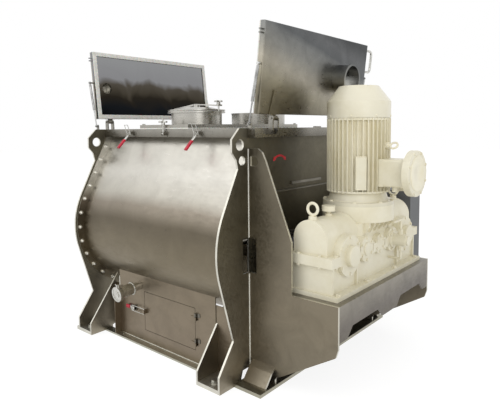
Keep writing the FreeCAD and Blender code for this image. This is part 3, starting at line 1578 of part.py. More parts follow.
def make_rotor():
    """Motor shaft with its bevel pinion at the foot and the rotor core."""
    pinion = bevel_gear(bevel_pinion_teeth, bevel_module, bevel_teeth, bevel_face, 27, 4, 0.01,
                        math.pi / bevel_pinion_teeth)
    pinion.translate(Vector(unit_x, 0, shaft_z))
    foot = pinion.BoundBox.ZMax
    shaft = rod(Z, (unit_x, 0, foot - 1), fan_z + 40 - foot, motor_shaft_r)
    core = tube(Z, (unit_x, 0, fins_z0 + 80), fins_z1 - fins_z0 - 170, rotor_r, motor_shaft_r)
    return [fuse(pinion, shaft), core]


def make_fan():
    hub = tube(Z, (unit_x, 0, fan_z), 34, 44, motor_shaft_r)
    disc = tube(Z, (unit_x, 0, fan_z), 5, 168, 40)
    blades = []
    for i in range(9):
        blade = box(unit_x + 40, unit_x + 166, -2, 2, fan_z, fan_z + 34)
        blades.append(turned(blade, (unit_x, 0, fan_z), Z, 40 * i))
    return fuse(hub, disc, *blades)


def make_cowl():
    start = fins_z1 + 2
    outer = fuse(rod(Z, (unit_x, 0, start), cowl_z1 - start, motor_r),
                 cone(Z, (unit_x, 0, cowl_z1), cowl_top - cowl_z1, motor_r, cowl_top_r))
    inner = fuse(rod(Z, (unit_x, 0, start - 1), cowl_z1 - start + 1, motor_r - 3),
                 cone(Z, (unit_x, 0, cowl_z1), cowl_top - cowl_z1 - 3, motor_r - 3, cowl_top_r - 3))
    slots = []
    for row in range(5):
        for side in (-1, 1):
            y0, y1 = sorted((side * 6, side * (100 - row * 6)))
            for end in (-1, 1):
                x = unit_x + end * (8 + 22 * row)
                slots.append(box(x - 6, x + 6, y0, y1, cowl_top - 8, cowl_top + 2))
    return outer.cut([inner] + slots)


def make_cowl_feet():
    """Four tabs that carry the cowl on the upper end shield."""
    tabs = []
    for i in range(4):
        tab = box(unit_x + motor_r - 24, unit_x + motor_r - 1, -12, 12, fins_z1 + shield_t,
                  fins_z1 + shield_t + 6)
        tabs.append(turned(tab, (unit_x, 0, 0), Z, 45 + 90 * i))
    return tabs


def make_terminal_box():
    x0 = unit_x + motor_r + 8
    x1 = jbox_face_x - jbox_lid_t
    body = box(x0, x1, -jbox_neck_half_y, jbox_neck_half_y, jbox_z - jbox_neck_half_z,
               jbox_z + jbox_neck_half_z)
    corners = [e for e in body.Edges if abs(e.tangentAt(0).x) > 0.9]
    body = body.makeFillet(14, corners)
    flange = rod(X, (x1 - 20, 0, jbox_z), 20, jbox_r)
    glands = []
    for y in (-38, 38):
        glands.append(rod(Z * -1, (x0 + 62, y, jbox_z - jbox_neck_half_z + 1), 30, 20))
    body = fuse(body, flange, *glands)
    hollow = box(x0 + 4, x1 - 24, -jbox_neck_half_y + 5, jbox_neck_half_y - 5, jbox_z - jbox_neck_half_z + 5,
                 jbox_z + jbox_neck_half_z - 5)
    body = body.cut([hollow, rod(X, (x0 - 1, 0, jbox_z), 20, 30),
                     rod(X, (x1 - 30, 0, jbox_z), 31, jbox_r - 18)])
    lid = rod(X, (x1, 0, jbox_z), jbox_lid_t, jbox_r)
    edge = [e for e in lid.Edges if e.BoundBox.XMin > x1 + jbox_lid_t - 1 and e.Length > 100]
    lid = lid.makeFillet(5, edge[:1]).cut(rod(X, (x1 - 1, 0, jbox_z), 13, jbox_r - 22))
    seats = ring_points((x1 + jbox_lid_t, 0, jbox_z), jbox_r - 11, 8, 22.5)
    lid = drill(lid, seats, X, jbox_lid_t, 4)
    return body, [lid] + [bolt(X, seat, jbox_lid_t, 4) for seat in seats]


# Control cabinet on the rear side plate

cabinet_x0 = 948.0
cabinet_x1 = 1205.0
cabinet_y1 = 798.0
cabinet_z0 = 450.0
cabinet_z1 = 1034.0
cabinet_sheet = 2.5
cabinet_door_t = 18.0


def make_cabinet():
    y0 = side_half + 8
    door_y = cabinet_y1 - cabinet_door_t
    shell = box(cabinet_x0, cabinet_x1, y0, door_y, cabinet_z0, cabinet_z1)
    t = cabinet_sheet
    hollow = box(cabinet_x0 + t, cabinet_x1 - t, y0 + t, door_y + 1, cabinet_z0 + t, cabinet_z1 - t)
    roof = box(cabinet_x0, cabinet_x1, y0, door_y, cabinet_z1, cabinet_z1 + 2)
    legs = [box(cabinet_x0 + 20, cabinet_x1 - 20, side_half, y0, z, z + 30)
            for z in (cabinet_z0 + 20, shelf_z - 40)]
    plate = box(cabinet_x0 + 20, cabinet_x1 - 20, y0 + t, y0 + t + 12, cabinet_z0 + 40, cabinet_z1 - 40)
    pins = []
    for z in (cabinet_z0 + 60, cabinet_z1 - 100):
        pins.append(rod(Z, (cabinet_x0 - 7, door_y + 6, z), 44, 3))
        pins.append(box(cabinet_x0 - 9, cabinet_x0, door_y - 10, door_y, z, z + 6))
        pins.append(box(cabinet_x0 - 9, cabinet_x0 - 5, door_y - 10, door_y + 8, z, z + 6))
    shell = fuse(shell.cut(hollow), roof, *(legs + pins))
    switchgear = [box(cabinet_x0 + 40, cabinet_x1 - 40, y0 + t + 12, y0 + t + 70, z, z + 90)
                  for z in (cabinet_z0 + 90, cabinet_z0 + 260, cabinet_z0 + 410)]
    return [shell, plate] + switchgear


def make_cabinet_door():
    door_y = cabinet_y1 - cabinet_door_t
    leaf = box(cabinet_x0, cabinet_x1, door_y + 0.4, cabinet_y1, cabinet_z0, cabinet_z1)
    leaf = leaf.cut(box(cabinet_x0 + 3, cabinet_x1 - 3, door_y - 1, cabinet_y1 - 3, cabinet_z0 + 3,
                        cabinet_z1 - 3))
    ears = []
    for z in (cabinet_z0 + 66.4, cabinet_z1 - 93.6):
        ears.append(rod(Z, (cabinet_x0 - 7, door_y + 6, z), 34, 6))
        ears.append(box(cabinet_x0 - 7, cabinet_x0 + 3, door_y + 2, door_y + 10, z, z + 34))
    bores = [rod(Z, (cabinet_x0 - 7, door_y + 6, z), 36, 3 + running_gap)
             for z in (cabinet_z0 + 66, cabinet_z1 - 94)]
    lock = rod(Y, (cabinet_x1 - 26, cabinet_y1 - 4, (cabinet_z0 + cabinet_z1) / 2), 14, 12)
    return fuse(leaf, lock, *ears).cut(bores)


# Lids: each is drawn closed at the drive end, then mirrored for the idle end and swung open

hinge_drive_x = frame_x1 + hinge_out
hinge_idle_x = frame_x0 - hinge_out
lid_clear = 20.5
lid_z0 = frame_top + seal_gap + seal_t
lid_z1 = lid_z0 + lid_depth
hinge_pin_r = 7.0
hinge_eye_w = 40.0
hinge_cheek_t = 10.0
side_gap = 0.4
strut_plane = 628.0
strut_foot_u = 60.0
strut_foot_z = 1522.0
strut_head_u = 305.0
strut_head_z = hinge_z - 20.0
lid_far = lid_near + lid_width


def place_lid(shape, side):
    """Turn a closed drive-end piece into either end's piece, swung open."""
    if side < 0:
        shape = shape.mirror(Vector((hinge_drive_x + hinge_idle_x) / 2, 0, 0), X)
    axis_x = hinge_drive_x if side > 0 else hinge_idle_x
    return turned(shape, (axis_x, 0, hinge_z), Y, side * lid_open)


def place_end(shape, side):
    """Turn a drive-end piece that stays on the frame into either end's piece."""
    if side < 0:
        return shape.mirror(Vector((hinge_drive_x + hinge_idle_x) / 2, 0, 0), X)
    return shape


def lid_edges():
    return hinge_drive_x - lid_clear - lid_length, hinge_drive_x - lid_clear


def make_lid_pan(side):
    """Pan of a lid: an outer sheet, a rim, and the inner mirror sheet, as one hollow shell."""
    x0, x1 = lid_edges()
    outer = box(x0, x1, lid_near, lid_far, lid_z0, lid_z1)
    upper = [e for e in outer.Edges if e.BoundBox.ZMin > lid_z1 - 0.01]
    outer = outer.makeFillet(6, upper)
    hollow = box(x0 + lid_sheet, x1 - lid_sheet, lid_near + lid_sheet, lid_far - lid_sheet,
                 lid_z0 + lid_sheet, lid_z1 - lid_sheet)
    pan = outer.cut(hollow)
    solids = []
    centre = port_place(side)
    radius = lid_stub_r if side < 0 else lid_port_r
    height = 24.0 if side < 0 else lid_port_h
    top = lid_z1 + height
    stub = tube(Z, (centre[0], centre[1], lid_z0), top - lid_z0, radius, radius - port_wall)
    rim = tube(Z, (centre[0], centre[1], top - 8), 8, radius + 12, radius - port_wall)
    pan = pan.cut(rod(Z, (centre[0], centre[1], lid_z0 - 1), lid_depth + 2, radius - 1))
    solids += [stub, rim]
    for y in (-hinge_half, hinge_half):
        solids += hinge_arm(y)
    for y in (-620.0, 620.0):
        edge = lid_near if y < 0 else lid_far
        y0, y1 = sorted((edge - math.copysign(4, y), math.copysign(strut_plane - strut_r - side_gap, y)))
        solids.append(rod(Y, (hinge_drive_x - strut_head_u, y0, strut_head_z), y1 - y0, 6))
    x = hinge_drive_x - lid_clear - 465
    for dx in (-14, 6):
        solids.append(box(x + dx, x + dx + 8, lid_near - 24, lid_near + 1, lid_z0 + 8, lid_z0 + 20))
    pan = fuse(pan, *solids)
    pin_holes = [rod(Y, (hinge_drive_x, y - 60, hinge_z), 120, hinge_pin_r + running_gap)
                 for y in (-hinge_half, hinge_half)]
    return place_lid(pan.cut(pin_holes), side)


def port_place(side):
    """Centre of a lid's port on the closed drive-end lid."""
    if side < 0:
        return hinge_drive_x - 263.0, lid_near + 105.0
    return hinge_drive_x - 275.0, 245.0


def hinge_arm(y):
    """Flat triangular arm on the lid, with the hinge eye."""
    tip = hinge_drive_x - 165
    base = hinge_drive_x - lid_clear
    plate = prism_xy([(base, y - 45), (base, y + 45), (tip, y + 12), (tip, y - 12)], lid_z1 - 1, lid_z1 + 7)
    half = hinge_eye_w / 2
    eye = rod(Y, (hinge_drive_x, y - half, hinge_z), hinge_eye_w, 13)
    neck = box(base - 2, hinge_drive_x, y - half, y + half, lid_z1 - 2, lid_z1 + 7)
    return [plate, eye, neck]


def make_lid_seal(side):
    x0, x1 = lid_edges()
    z0 = frame_top + seal_gap
    outer = box(x0, x1, lid_near, lid_far, z0, lid_z0)
    inner = box(x0 + seal_w, x1 - seal_w, lid_near + seal_w, lid_far - seal_w, z0 - 1, lid_z0 + 1)
    return place_lid(outer.cut(inner), side)


def make_lid_handle(side):
    """Bar handle on the lid's far edge."""
    x0, x1 = lid_edges()
    start = x0 + 36
    end = start + 155
    z = lid_z0 + lid_depth / 2
    grip = pipe_run([(start, lid_far - 1, z), (start, lid_far + 100, z), (end, lid_far + 100, z),
                     (end, lid_far - 1, z)], 9)
    return place_lid(grip.cut(box(x0, x1, lid_near, lid_far, lid_z0, lid_z1)), side)


def make_port_cap(side):
    """Blank plate clamped on the lid's port."""
    centre = port_place(side)
    radius = lid_stub_r if side < 0 else lid_port_r
    height = 24.0 if side < 0 else lid_port_h
    plate = rod(Z, (centre[0], centre[1], lid_z1 + height), 6, radius + 12)
    return place_lid(plate, side)


def make_hinge_brackets(side):
    """Cheeks with the pin on the frame's end bar."""
    solids = []
    for y in (-hinge_half, hinge_half):
        pieces = []
        for part_side in (-1, 1):
            inner = y + part_side * (hinge_eye_w / 2 + side_gap)
            y0, y1 = sorted((inner, inner + part_side * hinge_cheek_t))
            lid_side = hinge_drive_x - lid_clear + 1
            cheek = [(frame_x1, frame_top - 8), (frame_x1, frame_low + 22), (frame_x1 + 14, frame_low + 16),
                     (hinge_drive_x + 13, frame_low + 40), (hinge_drive_x + 15, hinge_z),
                     (hinge_drive_x + 8, hinge_z + 14), (hinge_drive_x - 8, hinge_z + 14),
                     (hinge_drive_x - 16, hinge_z), (lid_side, frame_top - 1)]
            pieces.append(prism_xz(cheek, y0, y1))
        reach = hinge_eye_w / 2 + hinge_cheek_t + 6
        pieces.append(rod(Y, (hinge_drive_x, y - reach, hinge_z), 2 * reach, hinge_pin_r))
        solids.append(fuse(*pieces))
    return [place_end(solid, side) for solid in solids]


def make_strut_brackets(side):
    """Plates on the frame's side bars that carry the struts' feet."""
    solids = []
    x = hinge_drive_x - strut_foot_u
    for face in (-1, 1):
        inner = face * frame_half
        outer = face * (strut_plane - strut_eye_t / 2 - side_gap)
        y0, y1 = sorted((inner, outer))
        plate = prism_xz([(x - 14, frame_low + 14), (x + 14, frame_low + 14), (x + 14, frame_top - 4),
                          (x + 11, strut_foot_z + 8), (x, strut_foot_z + 12), (x - 11, strut_foot_z + 8),
                          (x - 14, frame_top - 4)], y0, y1)
        far = face * (strut_plane + strut_eye_t / 2 + 5)
        y0, y1 = sorted((outer - face * 2, far))
        pin = rod(Y, (x, y0, strut_foot_z), y1 - y0, strut_pin_r)
        solids.append(place_end(fuse(plate, pin), side))
    return solids


strut_eye_t = 14.0
strut_pin_r = 4.0


def strut_angle():
    """Open strut's length and its lean, at the drive end, from its foot."""
    head_x = hinge_drive_x - strut_head_u
    a = math.radians(lid_open)
    dx = head_x - hinge_drive_x
    dz = strut_head_z - hinge_z
    open_x = hinge_drive_x + dx * math.cos(a) + dz * math.sin(a)
    open_z = hinge_z - dx * math.sin(a) + dz * math.cos(a)
    foot_x = hinge_drive_x - strut_foot_u
    reach = math.hypot(open_x - foot_x, open_z - strut_foot_z)
    return reach, math.degrees(math.atan2(open_x - foot_x, open_z - strut_foot_z))


def make_strut(side, face, cylinder):
    """Rod or cylinder of one gas strut, drawn upright on its foot, then leaned over."""
    reach, tilt = strut_angle()
    x = hinge_drive_x - strut_foot_u
    y = face * strut_plane
    z = strut_foot_z
    if cylinder:
        top = z + reach
        body = rod(Z, (x, y, top - strut_cylinder - 12), strut_cylinder, strut_r)
        neck = rod(Z, (x, y, top - 14), 14, 5)
        eye = rod(Y, (x, y - strut_eye_t / 2, top), strut_eye_t, 9)
        shape = fuse(body, neck, eye)
        deep = strut_cylinder - 20
        shape = shape.cut(rod(Z, (x, y, top - strut_cylinder - 13), deep, strut_rod_r + running_gap))
    else:
        end = z + reach - strut_cylinder + 8
        shaft = rod(Z, (x, y, z), end - z, strut_rod_r)
        eye = rod(Y, (x, y - strut_eye_t / 2, z), strut_eye_t, 9)
        shape = fuse(shaft, eye).cut(rod(Y, (x, y - 20, z), 40, strut_pin_r + running_gap))
    return place_end(turned(shape, (x, y, z), Y, tilt), side)


# Toggle latches on the frame's front bar

latch_pin_r = 3.0
latch_pivot = 14.0
latch_bail = 70.0
latch_bail_out = 20.0
latch_arm = 16.0


def make_latch_base(x):
    y = -frame_half
    z = latch_z
    plate = box(x - 20, x + 20, y - 3, y, z - 18, z + 18)
    ears = [box(x - 15, x - 11, y - latch_pivot - 6, y, z - 9, z + 9),
            box(x + 11, x + 15, y - latch_pivot - 6, y, z - 9, z + 9)]
    pin = rod(X, (x - 17, y - latch_pivot, z), 34, latch_pin_r)
    return fuse(plate, pin, *ears)


latch_z = 1472.0


def make_latch_lever(x):
    """Lever drawn hanging straight down from its pivot, then swung out by 45 degrees."""
    y = -frame_half - latch_pivot
    z = latch_z
    web = box(x - 10.6, x + 10.6, y - 5, y + 5, z - latch_reach + latch_grip - 2, z + 5)
    hole = rod(X, (x - 20, y, z), 40, latch_pin_r + running_gap)
    cross = rod(X, (x - 20, y, z - latch_arm), 40, bail_wire_r + running_gap)
    grip = box(x - 12, x + 12, y - 7, y + 7, z - latch_reach, z - latch_reach + latch_grip)
    corners = [e for e in grip.Edges if abs(e.tangentAt(0).z) > 0.9]
    grip = grip.makeFillet(5, corners)
    lever = web.cut([hole, cross])
    shapes = [lever, grip.cut(lever)]
    return [turned(shape, (x, y, z), X, -45) for shape in shapes]


bail_wire_r = 2.5


def make_latch_bail(x):
    y = -frame_half - latch_pivot
    z = latch_z - latch_arm
    half = 18.5
    points = [(x - 10, y, z), (x - half, y, z), (x - half, y, z + latch_bail),
              (x + half, y, z + latch_bail), (x + half, y, z), (x + 10, y, z)]
    wire = pipe_run(points, bail_wire_r)
    cross = rod(X, (x - half, y, z), 2 * half, bail_wire_r)
    bail = turned(fuse(wire, cross), (x, y, z), X, latch_bail_out + 45)
    return turned(bail, (x, y, latch_z), X, -45)


# Interlock switch beside the drive-end lid

def make_interlock():
    x = frame_x1 - seal_w - 16
    return box(x - 10, x + 10, interlock_y - 34, interlock_y + 34, frame_top, frame_top + 9)


# Door latch: a lever on the skirt whose notch takes the bail that hangs on the door

door_latch_x = -245.0
door_hook_x = -127.0


def make_door_latch_base():
    y = -skirt_half
    z = door_latch_z
    x = door_latch_x
    plate = box(x - 18, x + 18, y - 3, y, z - 18, z + 18)
    ears = [box(x - 9, x + 9, y - latch_pivot - 6, y, z - 15, z - 11),
            box(x - 9, x + 9, y - latch_pivot - 6, y, z + 11, z + 15)]
    pin = rod(Z, (x, y - latch_pivot, z - 15.5), 31, latch_pin_r)
    return fuse(plate, pin, *ears)


def make_door_lever():
    y = -skirt_half - latch_pivot
    z = door_latch_z
    x = door_latch_x
    web = box(x - door_latch_reach + door_latch_grip - 2, x + 5, y - 6, y + 5, z - 10.6, z + 10.6)
    hole = rod(Z, (x, y, z - 20), 40, latch_pin_r + running_gap)
    notch = box(x - latch_arm - 3, x - latch_arm + 3, y - 7, y - 1, z - 12, z + 12)
    grip = box(x - door_latch_reach, x - door_latch_reach + door_latch_grip, y - 7, y + 7, z - 12, z + 12)
    corners = [e for e in grip.Edges if abs(e.tangentAt(0).x) > 0.9]
    grip = grip.makeFillet(5, corners)
    lever = web.cut([hole, notch])
    return [lever, grip.cut(lever)]


def make_door_bail():
    """Bail hung in the door's hook, its free end in the lever's notch."""
    y = -skirt_half - latch_pivot - 4.0
    z = door_latch_z
    near = door_latch_x - latch_arm
    half = 18.5
    points = [(near, y, z - half), (door_hook_x, y, z - half), (door_hook_x, y, z + half),
              (near, y, z + half), (near, y, z - half)]
    corner = Part.makeSphere(bail_wire_r, Vector(*points[0]))
    return fuse(pipe_run(points, bail_wire_r), corner)


def make_cover_bolts():
    bolts = []
    for seat in cover_bolt_seats():
        bolts.append(bolt(Z, seat, cover_bolt_grip, frame_bolt_r))
    return bolts


def make_lid_trim(side):
    """Seal, port cap and, on the drive-end lid, the handle."""
    solids = [make_lid_seal(side)]
    if side > 0:
        solids.append(make_lid_handle(side))
    else:
        solids.append(make_port_cap(side))
    return solids


def front_and_mirrored(side, cylinder):
    return [make_strut(side, face, cylinder) for face in (-1, 1)]


gear_covers, gear_cover_bolts = make_covers()
terminal_body, terminal_lid = make_terminal_box()
front_flap = make_flap()

nodes = {
    "trough_shell": [make_trough()],
    "end_plates": [make_idle_plate(), make_drive_plate()],
    "frame_bolts": [make_ring_bolts()] + make_foot_bolts() + make_cover_bolts(),
    "top_frame": [make_top_frame()],
    "gaskets": [make_cover_gasket(), make_manhole_gasket()],
    "middle_cover": [make_middle_cover()],
    "manhole_brackets": make_manhole_brackets(),
    "bar_fittings": [make_clamp_lugs(), make_latch_base(latch_idle_x), make_latch_base(latch_drive_x),
                     make_interlock()],
    "skirts": [make_skirts()],
    "door_fittings": make_door_hinges() + [make_door_latch_base()],
    "support_feet": [make_feet()],
    "side_plates": [make_side_plates()],
    "platform": [make_platform()] + make_end_wall_bars(),
    "sampling_port": [make_sampling_port()],
    "flap_drives": [make_flap_drives()],
    "shaft_housings": [make_shaft_housings()],
    "gear_case_lower": [make_case_lower()],
    "gear_case_upper": [make_case_upper()],
    "gear_covers": gear_covers,
    "gear_bolts": gear_cover_bolts + make_unit_bolts() + make_adapter_bolts(),
    "unit_fittings": make_eyebolts() + [make_breather(), make_oil_pump()] + make_oil_pipes(),
    "bearings": make_bearings(),
    "motor_adapter": [make_adapter()],
    "motor_frame": [make_motor_frame(), make_end_shield()],
    "stator": make_stator(),
    "fan_cowl": [fuse(make_cowl(), *make_cowl_feet())],
    "terminal_box": [terminal_body] + terminal_lid,
    "cabinet": make_cabinet(),
    "lid_brackets": make_hinge_brackets(-1) + make_hinge_brackets(1) + make_strut_brackets(-1)
    + make_strut_brackets(1),
    "agitator_front": [make_agitator(0)],
    "agitator_rear": [mirrored(make_agitator(45))],
    "output_front": [make_front_output()],
    "output_rear": [make_rear_output()],
    "idler_front": [make_front_idler()],
    "idler_rear": [make_rear_idler()],
    "input_front": [make_front_input()],
    "input_rear": [make_rear_input()],
    "motor_rotor": make_rotor() + [make_fan()],
    "lid_idle": [make_lid_pan(-1)],
    "lid_drive": [make_lid_pan(1)],
    "lid_trim_idle": make_lid_trim(-1),
    "lid_trim_drive": make_lid_trim(1),
    "strut_rods_idle": front_and_mirrored(-1, False),
    "strut_rods_drive": front_and_mirrored(1, False),
    "strut_cylinders_idle": front_and_mirrored(-1, True),
    "strut_cylinders_drive": front_and_mirrored(1, True),
    "manhole_cover": [make_manhole_cover(), make_manhole_strap()],
    "manhole_knob": [make_manhole_knob()],
    "clamp_bolt": [make_clamp_bolt()],
    "clamp_knob": [make_clamp_knob()],
    "latch_lever_idle": make_latch_lever(latch_idle_x),
    "latch_lever_drive": make_latch_lever(latch_drive_x),
    "latch_bail_idle": [make_latch_bail(latch_idle_x)],
    "latch_bail_drive": [make_latch_bail(latch_drive_x)],
    "inspection_door": [make_door()],
    "door_lever": make_door_lever(),
    "door_bail": [make_door_bail()],
    "cabinet_door": [make_cabinet_door()],
    "flap_front": [front_flap],
    "flap_rear": [mirrored(front_flap)],
}

os.makedirs("parts", exist_ok=True)
for name, shapes in nodes.items():
    solids = []
    for shape in shapes:
        solids += shape.Solids
    node = solids[0] if len(solids) == 1 else group(solids)
    node.exportStep("parts/" + name + ".step")
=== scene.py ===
import bmesh
import bpy
import math
from bpy.props import FloatProperty, FloatVectorProperty, IntProperty, PointerProperty
from mathutils import Matrix, Vector


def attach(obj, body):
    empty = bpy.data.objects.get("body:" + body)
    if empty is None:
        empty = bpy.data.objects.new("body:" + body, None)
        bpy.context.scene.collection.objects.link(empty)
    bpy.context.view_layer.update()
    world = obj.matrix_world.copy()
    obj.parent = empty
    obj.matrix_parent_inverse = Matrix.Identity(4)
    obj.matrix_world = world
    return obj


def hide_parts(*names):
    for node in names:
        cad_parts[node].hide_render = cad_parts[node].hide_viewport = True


bl_info = {
    "name": "Double-shaft paddle mixer",
    "version": (1, 0, 0),
    "blender": (4, 5, 0),
    "location": "3D View > Sidebar > Mixer",
    "description": "Finishes, fittings and stage of a double-shaft paddle mixer",
    "category": "Object",
}

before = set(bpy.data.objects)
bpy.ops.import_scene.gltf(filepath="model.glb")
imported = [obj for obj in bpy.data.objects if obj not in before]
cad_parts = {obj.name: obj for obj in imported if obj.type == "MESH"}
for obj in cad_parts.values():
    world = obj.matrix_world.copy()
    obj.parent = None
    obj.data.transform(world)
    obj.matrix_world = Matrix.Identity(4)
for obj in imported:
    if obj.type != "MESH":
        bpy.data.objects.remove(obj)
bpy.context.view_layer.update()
MM = 0.001


# Colour and node helpers

def linear(code):
    """sRGB hex to the linear values that shaders use."""
    values = []
    for start in (0, 2, 4):
        part = int(code[start:start + 2], 16) / 255
        values.append(part / 12.92 if part <= 0.04045 else ((part + 0.055) / 1.055) ** 2.4)
    return (*values, 1.0)


def add(tree, kind, settings=None, links=None):
    """Add a shader node, set its fields and sockets, and link its inputs."""
    node = tree.nodes.new("ShaderNode" + kind)
    for key, value in (settings or {}).items():
        if key == "ramp":
            stops = node.color_ramp.elements
            while len(stops) < len(value):
                stops.new(1.0)
            for stop, (place, colour) in zip(stops, value):
                stop.position = place
                stop.color = colour
        elif isinstance(key, str) and key[0].islower():
            setattr(node, key, value)
        else:
            node.inputs[key].default_value = value
    for key, source in (links or {}).items():
        tree.links.new(source, node.inputs[key])
    return node


def new_material(name):
    """Empty material and its node tree, ready for nodes."""
    material = bpy.data.materials.new(name)
    material.use_nodes = True
    material.node_tree.nodes.clear()
    return material, material.node_tree


def grey(value):
    """One value for red, green and blue."""
    return (value, value, value, 1.0)


def tone_ramp(tree, height, tones):
    """Colour by a height in metres: tones are pairs of millimetres and sRGB hex."""
    low = tones[0][0] * MM
    high = tones[-1][0] * MM
    place = add(tree, "MapRange", {"From Min": low, "From Max": high}, {"Value": height})
    stops = [((z * MM - low) / (high - low), linear(code)) for z, code in tones]
    return add(tree, "ValToRGB", {"ramp": stops}, {"Fac": place.outputs[0]}).outputs[0]


def edge_mask(tree, axis):
    """One on a plate's cut edges: the faces that don't look along the plate's thickness."""
    normal = add(tree, "TexCoord").outputs["Normal"]
    split = add(tree, "SeparateXYZ", None, {0: normal})
    flat = add(tree, "Math", {"operation": "ABSOLUTE"}, {0: split.outputs[axis]})
    return add(tree, "Math", {"operation": "LESS_THAN", 1: 0.5}, {0: flat.outputs[0]}).outputs[0]


def stainless(name, tones, grain, roughness, direction=(0.0, 0.0, 1.0), stain=0.3, drift=50.0,
              edge=None, patch=None):
    """Stainless sheet or plate with a ground grain, handling stains, and a tone along one direction that is
    painted reflection and shade.

    tones are pairs of millimetres along the direction and sRGB hex, grain is the size of one grain
    patch in millimetres along X, Y and Z, and drift is how far the tones wander, in millimetres.
    edge gives a plate's thickness axis and the tone of its cut edges. patch gives an axis, a place
    on it in millimetres and the tone of what lies below that place.
    """
    material, tree = new_material(name)
    place = add(tree, "TexCoord").outputs["Object"]
    along = add(tree, "VectorMath", {"operation": "DOT_PRODUCT", 1: direction}, {0: place})
    soft = add(tree, "TexNoise", {"Scale": 2.2, "Detail": 3.0}, {"Vector": place})
    wander = add(tree, "Math", {"operation": "MULTIPLY_ADD", 1: drift * MM, 2: drift * MM / -2},
                 {0: soft.outputs[0]})
    height = add(tree, "Math", {"operation": "ADD"}, {0: along.outputs["Value"], 1: wander.outputs[0]})
    # The tones along the direction are painted reflection and shade.
    base = tone_ramp(tree, height.outputs[0], tones)
    if patch:
        axis, limit, code = patch
        spot = add(tree, "SeparateXYZ", None, {0: place})
        inside = add(tree, "Math", {"operation": "LESS_THAN", 1: limit * MM}, {0: spot.outputs[axis]})
        base = add(tree, "MixRGB", {"Color2": linear(code)},
                   {"Fac": inside.outputs[0], "Color1": base}).outputs[0]
    if edge:
        base = add(tree, "MixRGB", {"Color2": linear(edge[1])},
                   {"Fac": edge_mask(tree, edge[0]), "Color1": base}).outputs[0]
    scale = tuple(1000.0 / size for size in grain)
    turned = add(tree, "Mapping", {"Scale": scale}, {"Vector": place})
    fine = add(tree, "TexNoise", {"Scale": 1.0, "Detail": 4.0, "Roughness": 0.6},
               {"Vector": turned.outputs[0]})
    cloud = add(tree, "TexNoise", {"Scale": 6.0, "Detail": 5.0, "Roughness": 0.65, "Distortion": 0.6},
                {"Vector": place})
    spread = 1.0 - stain
    streak = add(tree, "ValToRGB", {"ramp": [(0.3, grey(1.0 - stain * 0.5)), (0.7, grey(1.0))]},
                 {"Fac": fine.outputs[0]})
    mottle = add(tree, "ValToRGB", {"ramp": [(0.35, grey(spread)), (0.6, grey(1.0))]},
                 {"Fac": cloud.outputs[0]})
    first = add(tree, "MixRGB", {"blend_type": "MULTIPLY", "Fac": 1.0},
                {"Color1": base, "Color2": streak.outputs[0]})
    colour = add(tree, "MixRGB", {"blend_type": "MULTIPLY", "Fac": 1.0},
                 {"Color1": first.outputs[0], "Color2": mottle.outputs[0]})
    rough = add(tree, "MapRange", {"From Min": 0.3, "From Max": 0.7, "To Min": roughness * 0.75,
                                   "To Max": roughness * 1.25}, {"Value": fine.outputs[0]})
    relief = add(tree, "Bump", {"Strength": 0.2, "Distance": 0.0006}, {"Height": fine.outputs[0]})
    steel = add(tree, "BsdfPrincipled", {"Metallic": 1.0},
                {"Base Color": colour.outputs[0], "Roughness": rough.outputs[0],
                 "Normal": relief.outputs[0]})
    add(tree, "OutputMaterial", None, {"Surface": steel.outputs[0]})
    return material


def enamel(name, lit, worn, peel_mm, peel, roughness, gloss, low=0.55, high=1.2):
    """Enamel or powder coat: two near tones, orange peel or casting grain, and painted shade that
    darkens it towards the bottom and fades out between the heights low and high, in metres."""
    material, tree = new_material(name)
    place = add(tree, "TexCoord").outputs["Object"]
    cloud = add(tree, "TexNoise", {"Scale": 5.0, "Detail": 5.0, "Roughness": 0.6}, {"Vector": place})
    mix = add(tree, "ValToRGB", {"ramp": [(0.3, worn), (0.58, lit)]}, {"Fac": cloud.outputs[0]})
    split = add(tree, "SeparateXYZ", None, {0: place})
    # Painted shade: the colour darkens towards the bottom, to 0.82 at the height low.
    painted_low_shade = add(tree, "MapRange", {"From Min": low, "From Max": high, "To Min": 0.82, "To Max": 1.0},
               {"Value": split.outputs["Z"]})
    colour = add(tree, "MixRGB", {"blend_type": "MULTIPLY", "Fac": 1.0},
                 {"Color1": mix.outputs[0], "Color2": painted_low_shade.outputs[0]})
    grain = add(tree, "TexNoise", {"Scale": 1000.0 / peel_mm, "Detail": 3.0}, {"Vector": place})
    relief = add(tree, "Bump", {"Strength": peel, "Distance": 0.001}, {"Height": grain.outputs[0]})
    rough = add(tree, "MapRange", {"To Min": roughness * 0.8, "To Max": roughness * 1.3},
                {"Value": cloud.outputs[0]})
    coat = add(tree, "BsdfPrincipled", {"Coat Weight": gloss, "Coat Roughness": 0.2},
               {"Base Color": colour.outputs[0], "Roughness": rough.outputs[0],
                "Normal": relief.outputs[0]})
    add(tree, "OutputMaterial", None, {"Surface": coat.outputs[0]})
    return material


def moulded(name, colour, dark, roughness, grain_mm=3.0, bump=0.15, subsurface=0.0):
    """Plastic or rubber straight from the mould: a fine spark-eroded grain and rubbed patches."""
    material, tree = new_material(name)
    place = add(tree, "TexCoord").outputs["Object"]
    cloud = add(tree, "TexNoise", {"Scale": 40.0, "Detail": 4.0}, {"Vector": place})
    mix = add(tree, "ValToRGB", {"ramp": [(0.32, dark), (0.62, colour)]}, {"Fac": cloud.outputs[0]})
    grain = add(tree, "TexNoise", {"Scale": 1000.0 / grain_mm, "Detail": 2.0}, {"Vector": place})
    relief = add(tree, "Bump", {"Strength": bump, "Distance": 0.0005}, {"Height": grain.outputs[0]})
    rough = add(tree, "MapRange", {"To Min": roughness * 0.8, "To Max": roughness * 1.2},
                {"Value": cloud.outputs[0]})
    body = add(tree, "BsdfPrincipled", {"Subsurface Weight": subsurface, "Subsurface Scale": 0.002},
               {"Base Color": mix.outputs[0], "Roughness": rough.outputs[0],
                "Normal": relief.outputs[0]})
    add(tree, "OutputMaterial", None, {"Surface": body.outputs[0]})
    return material


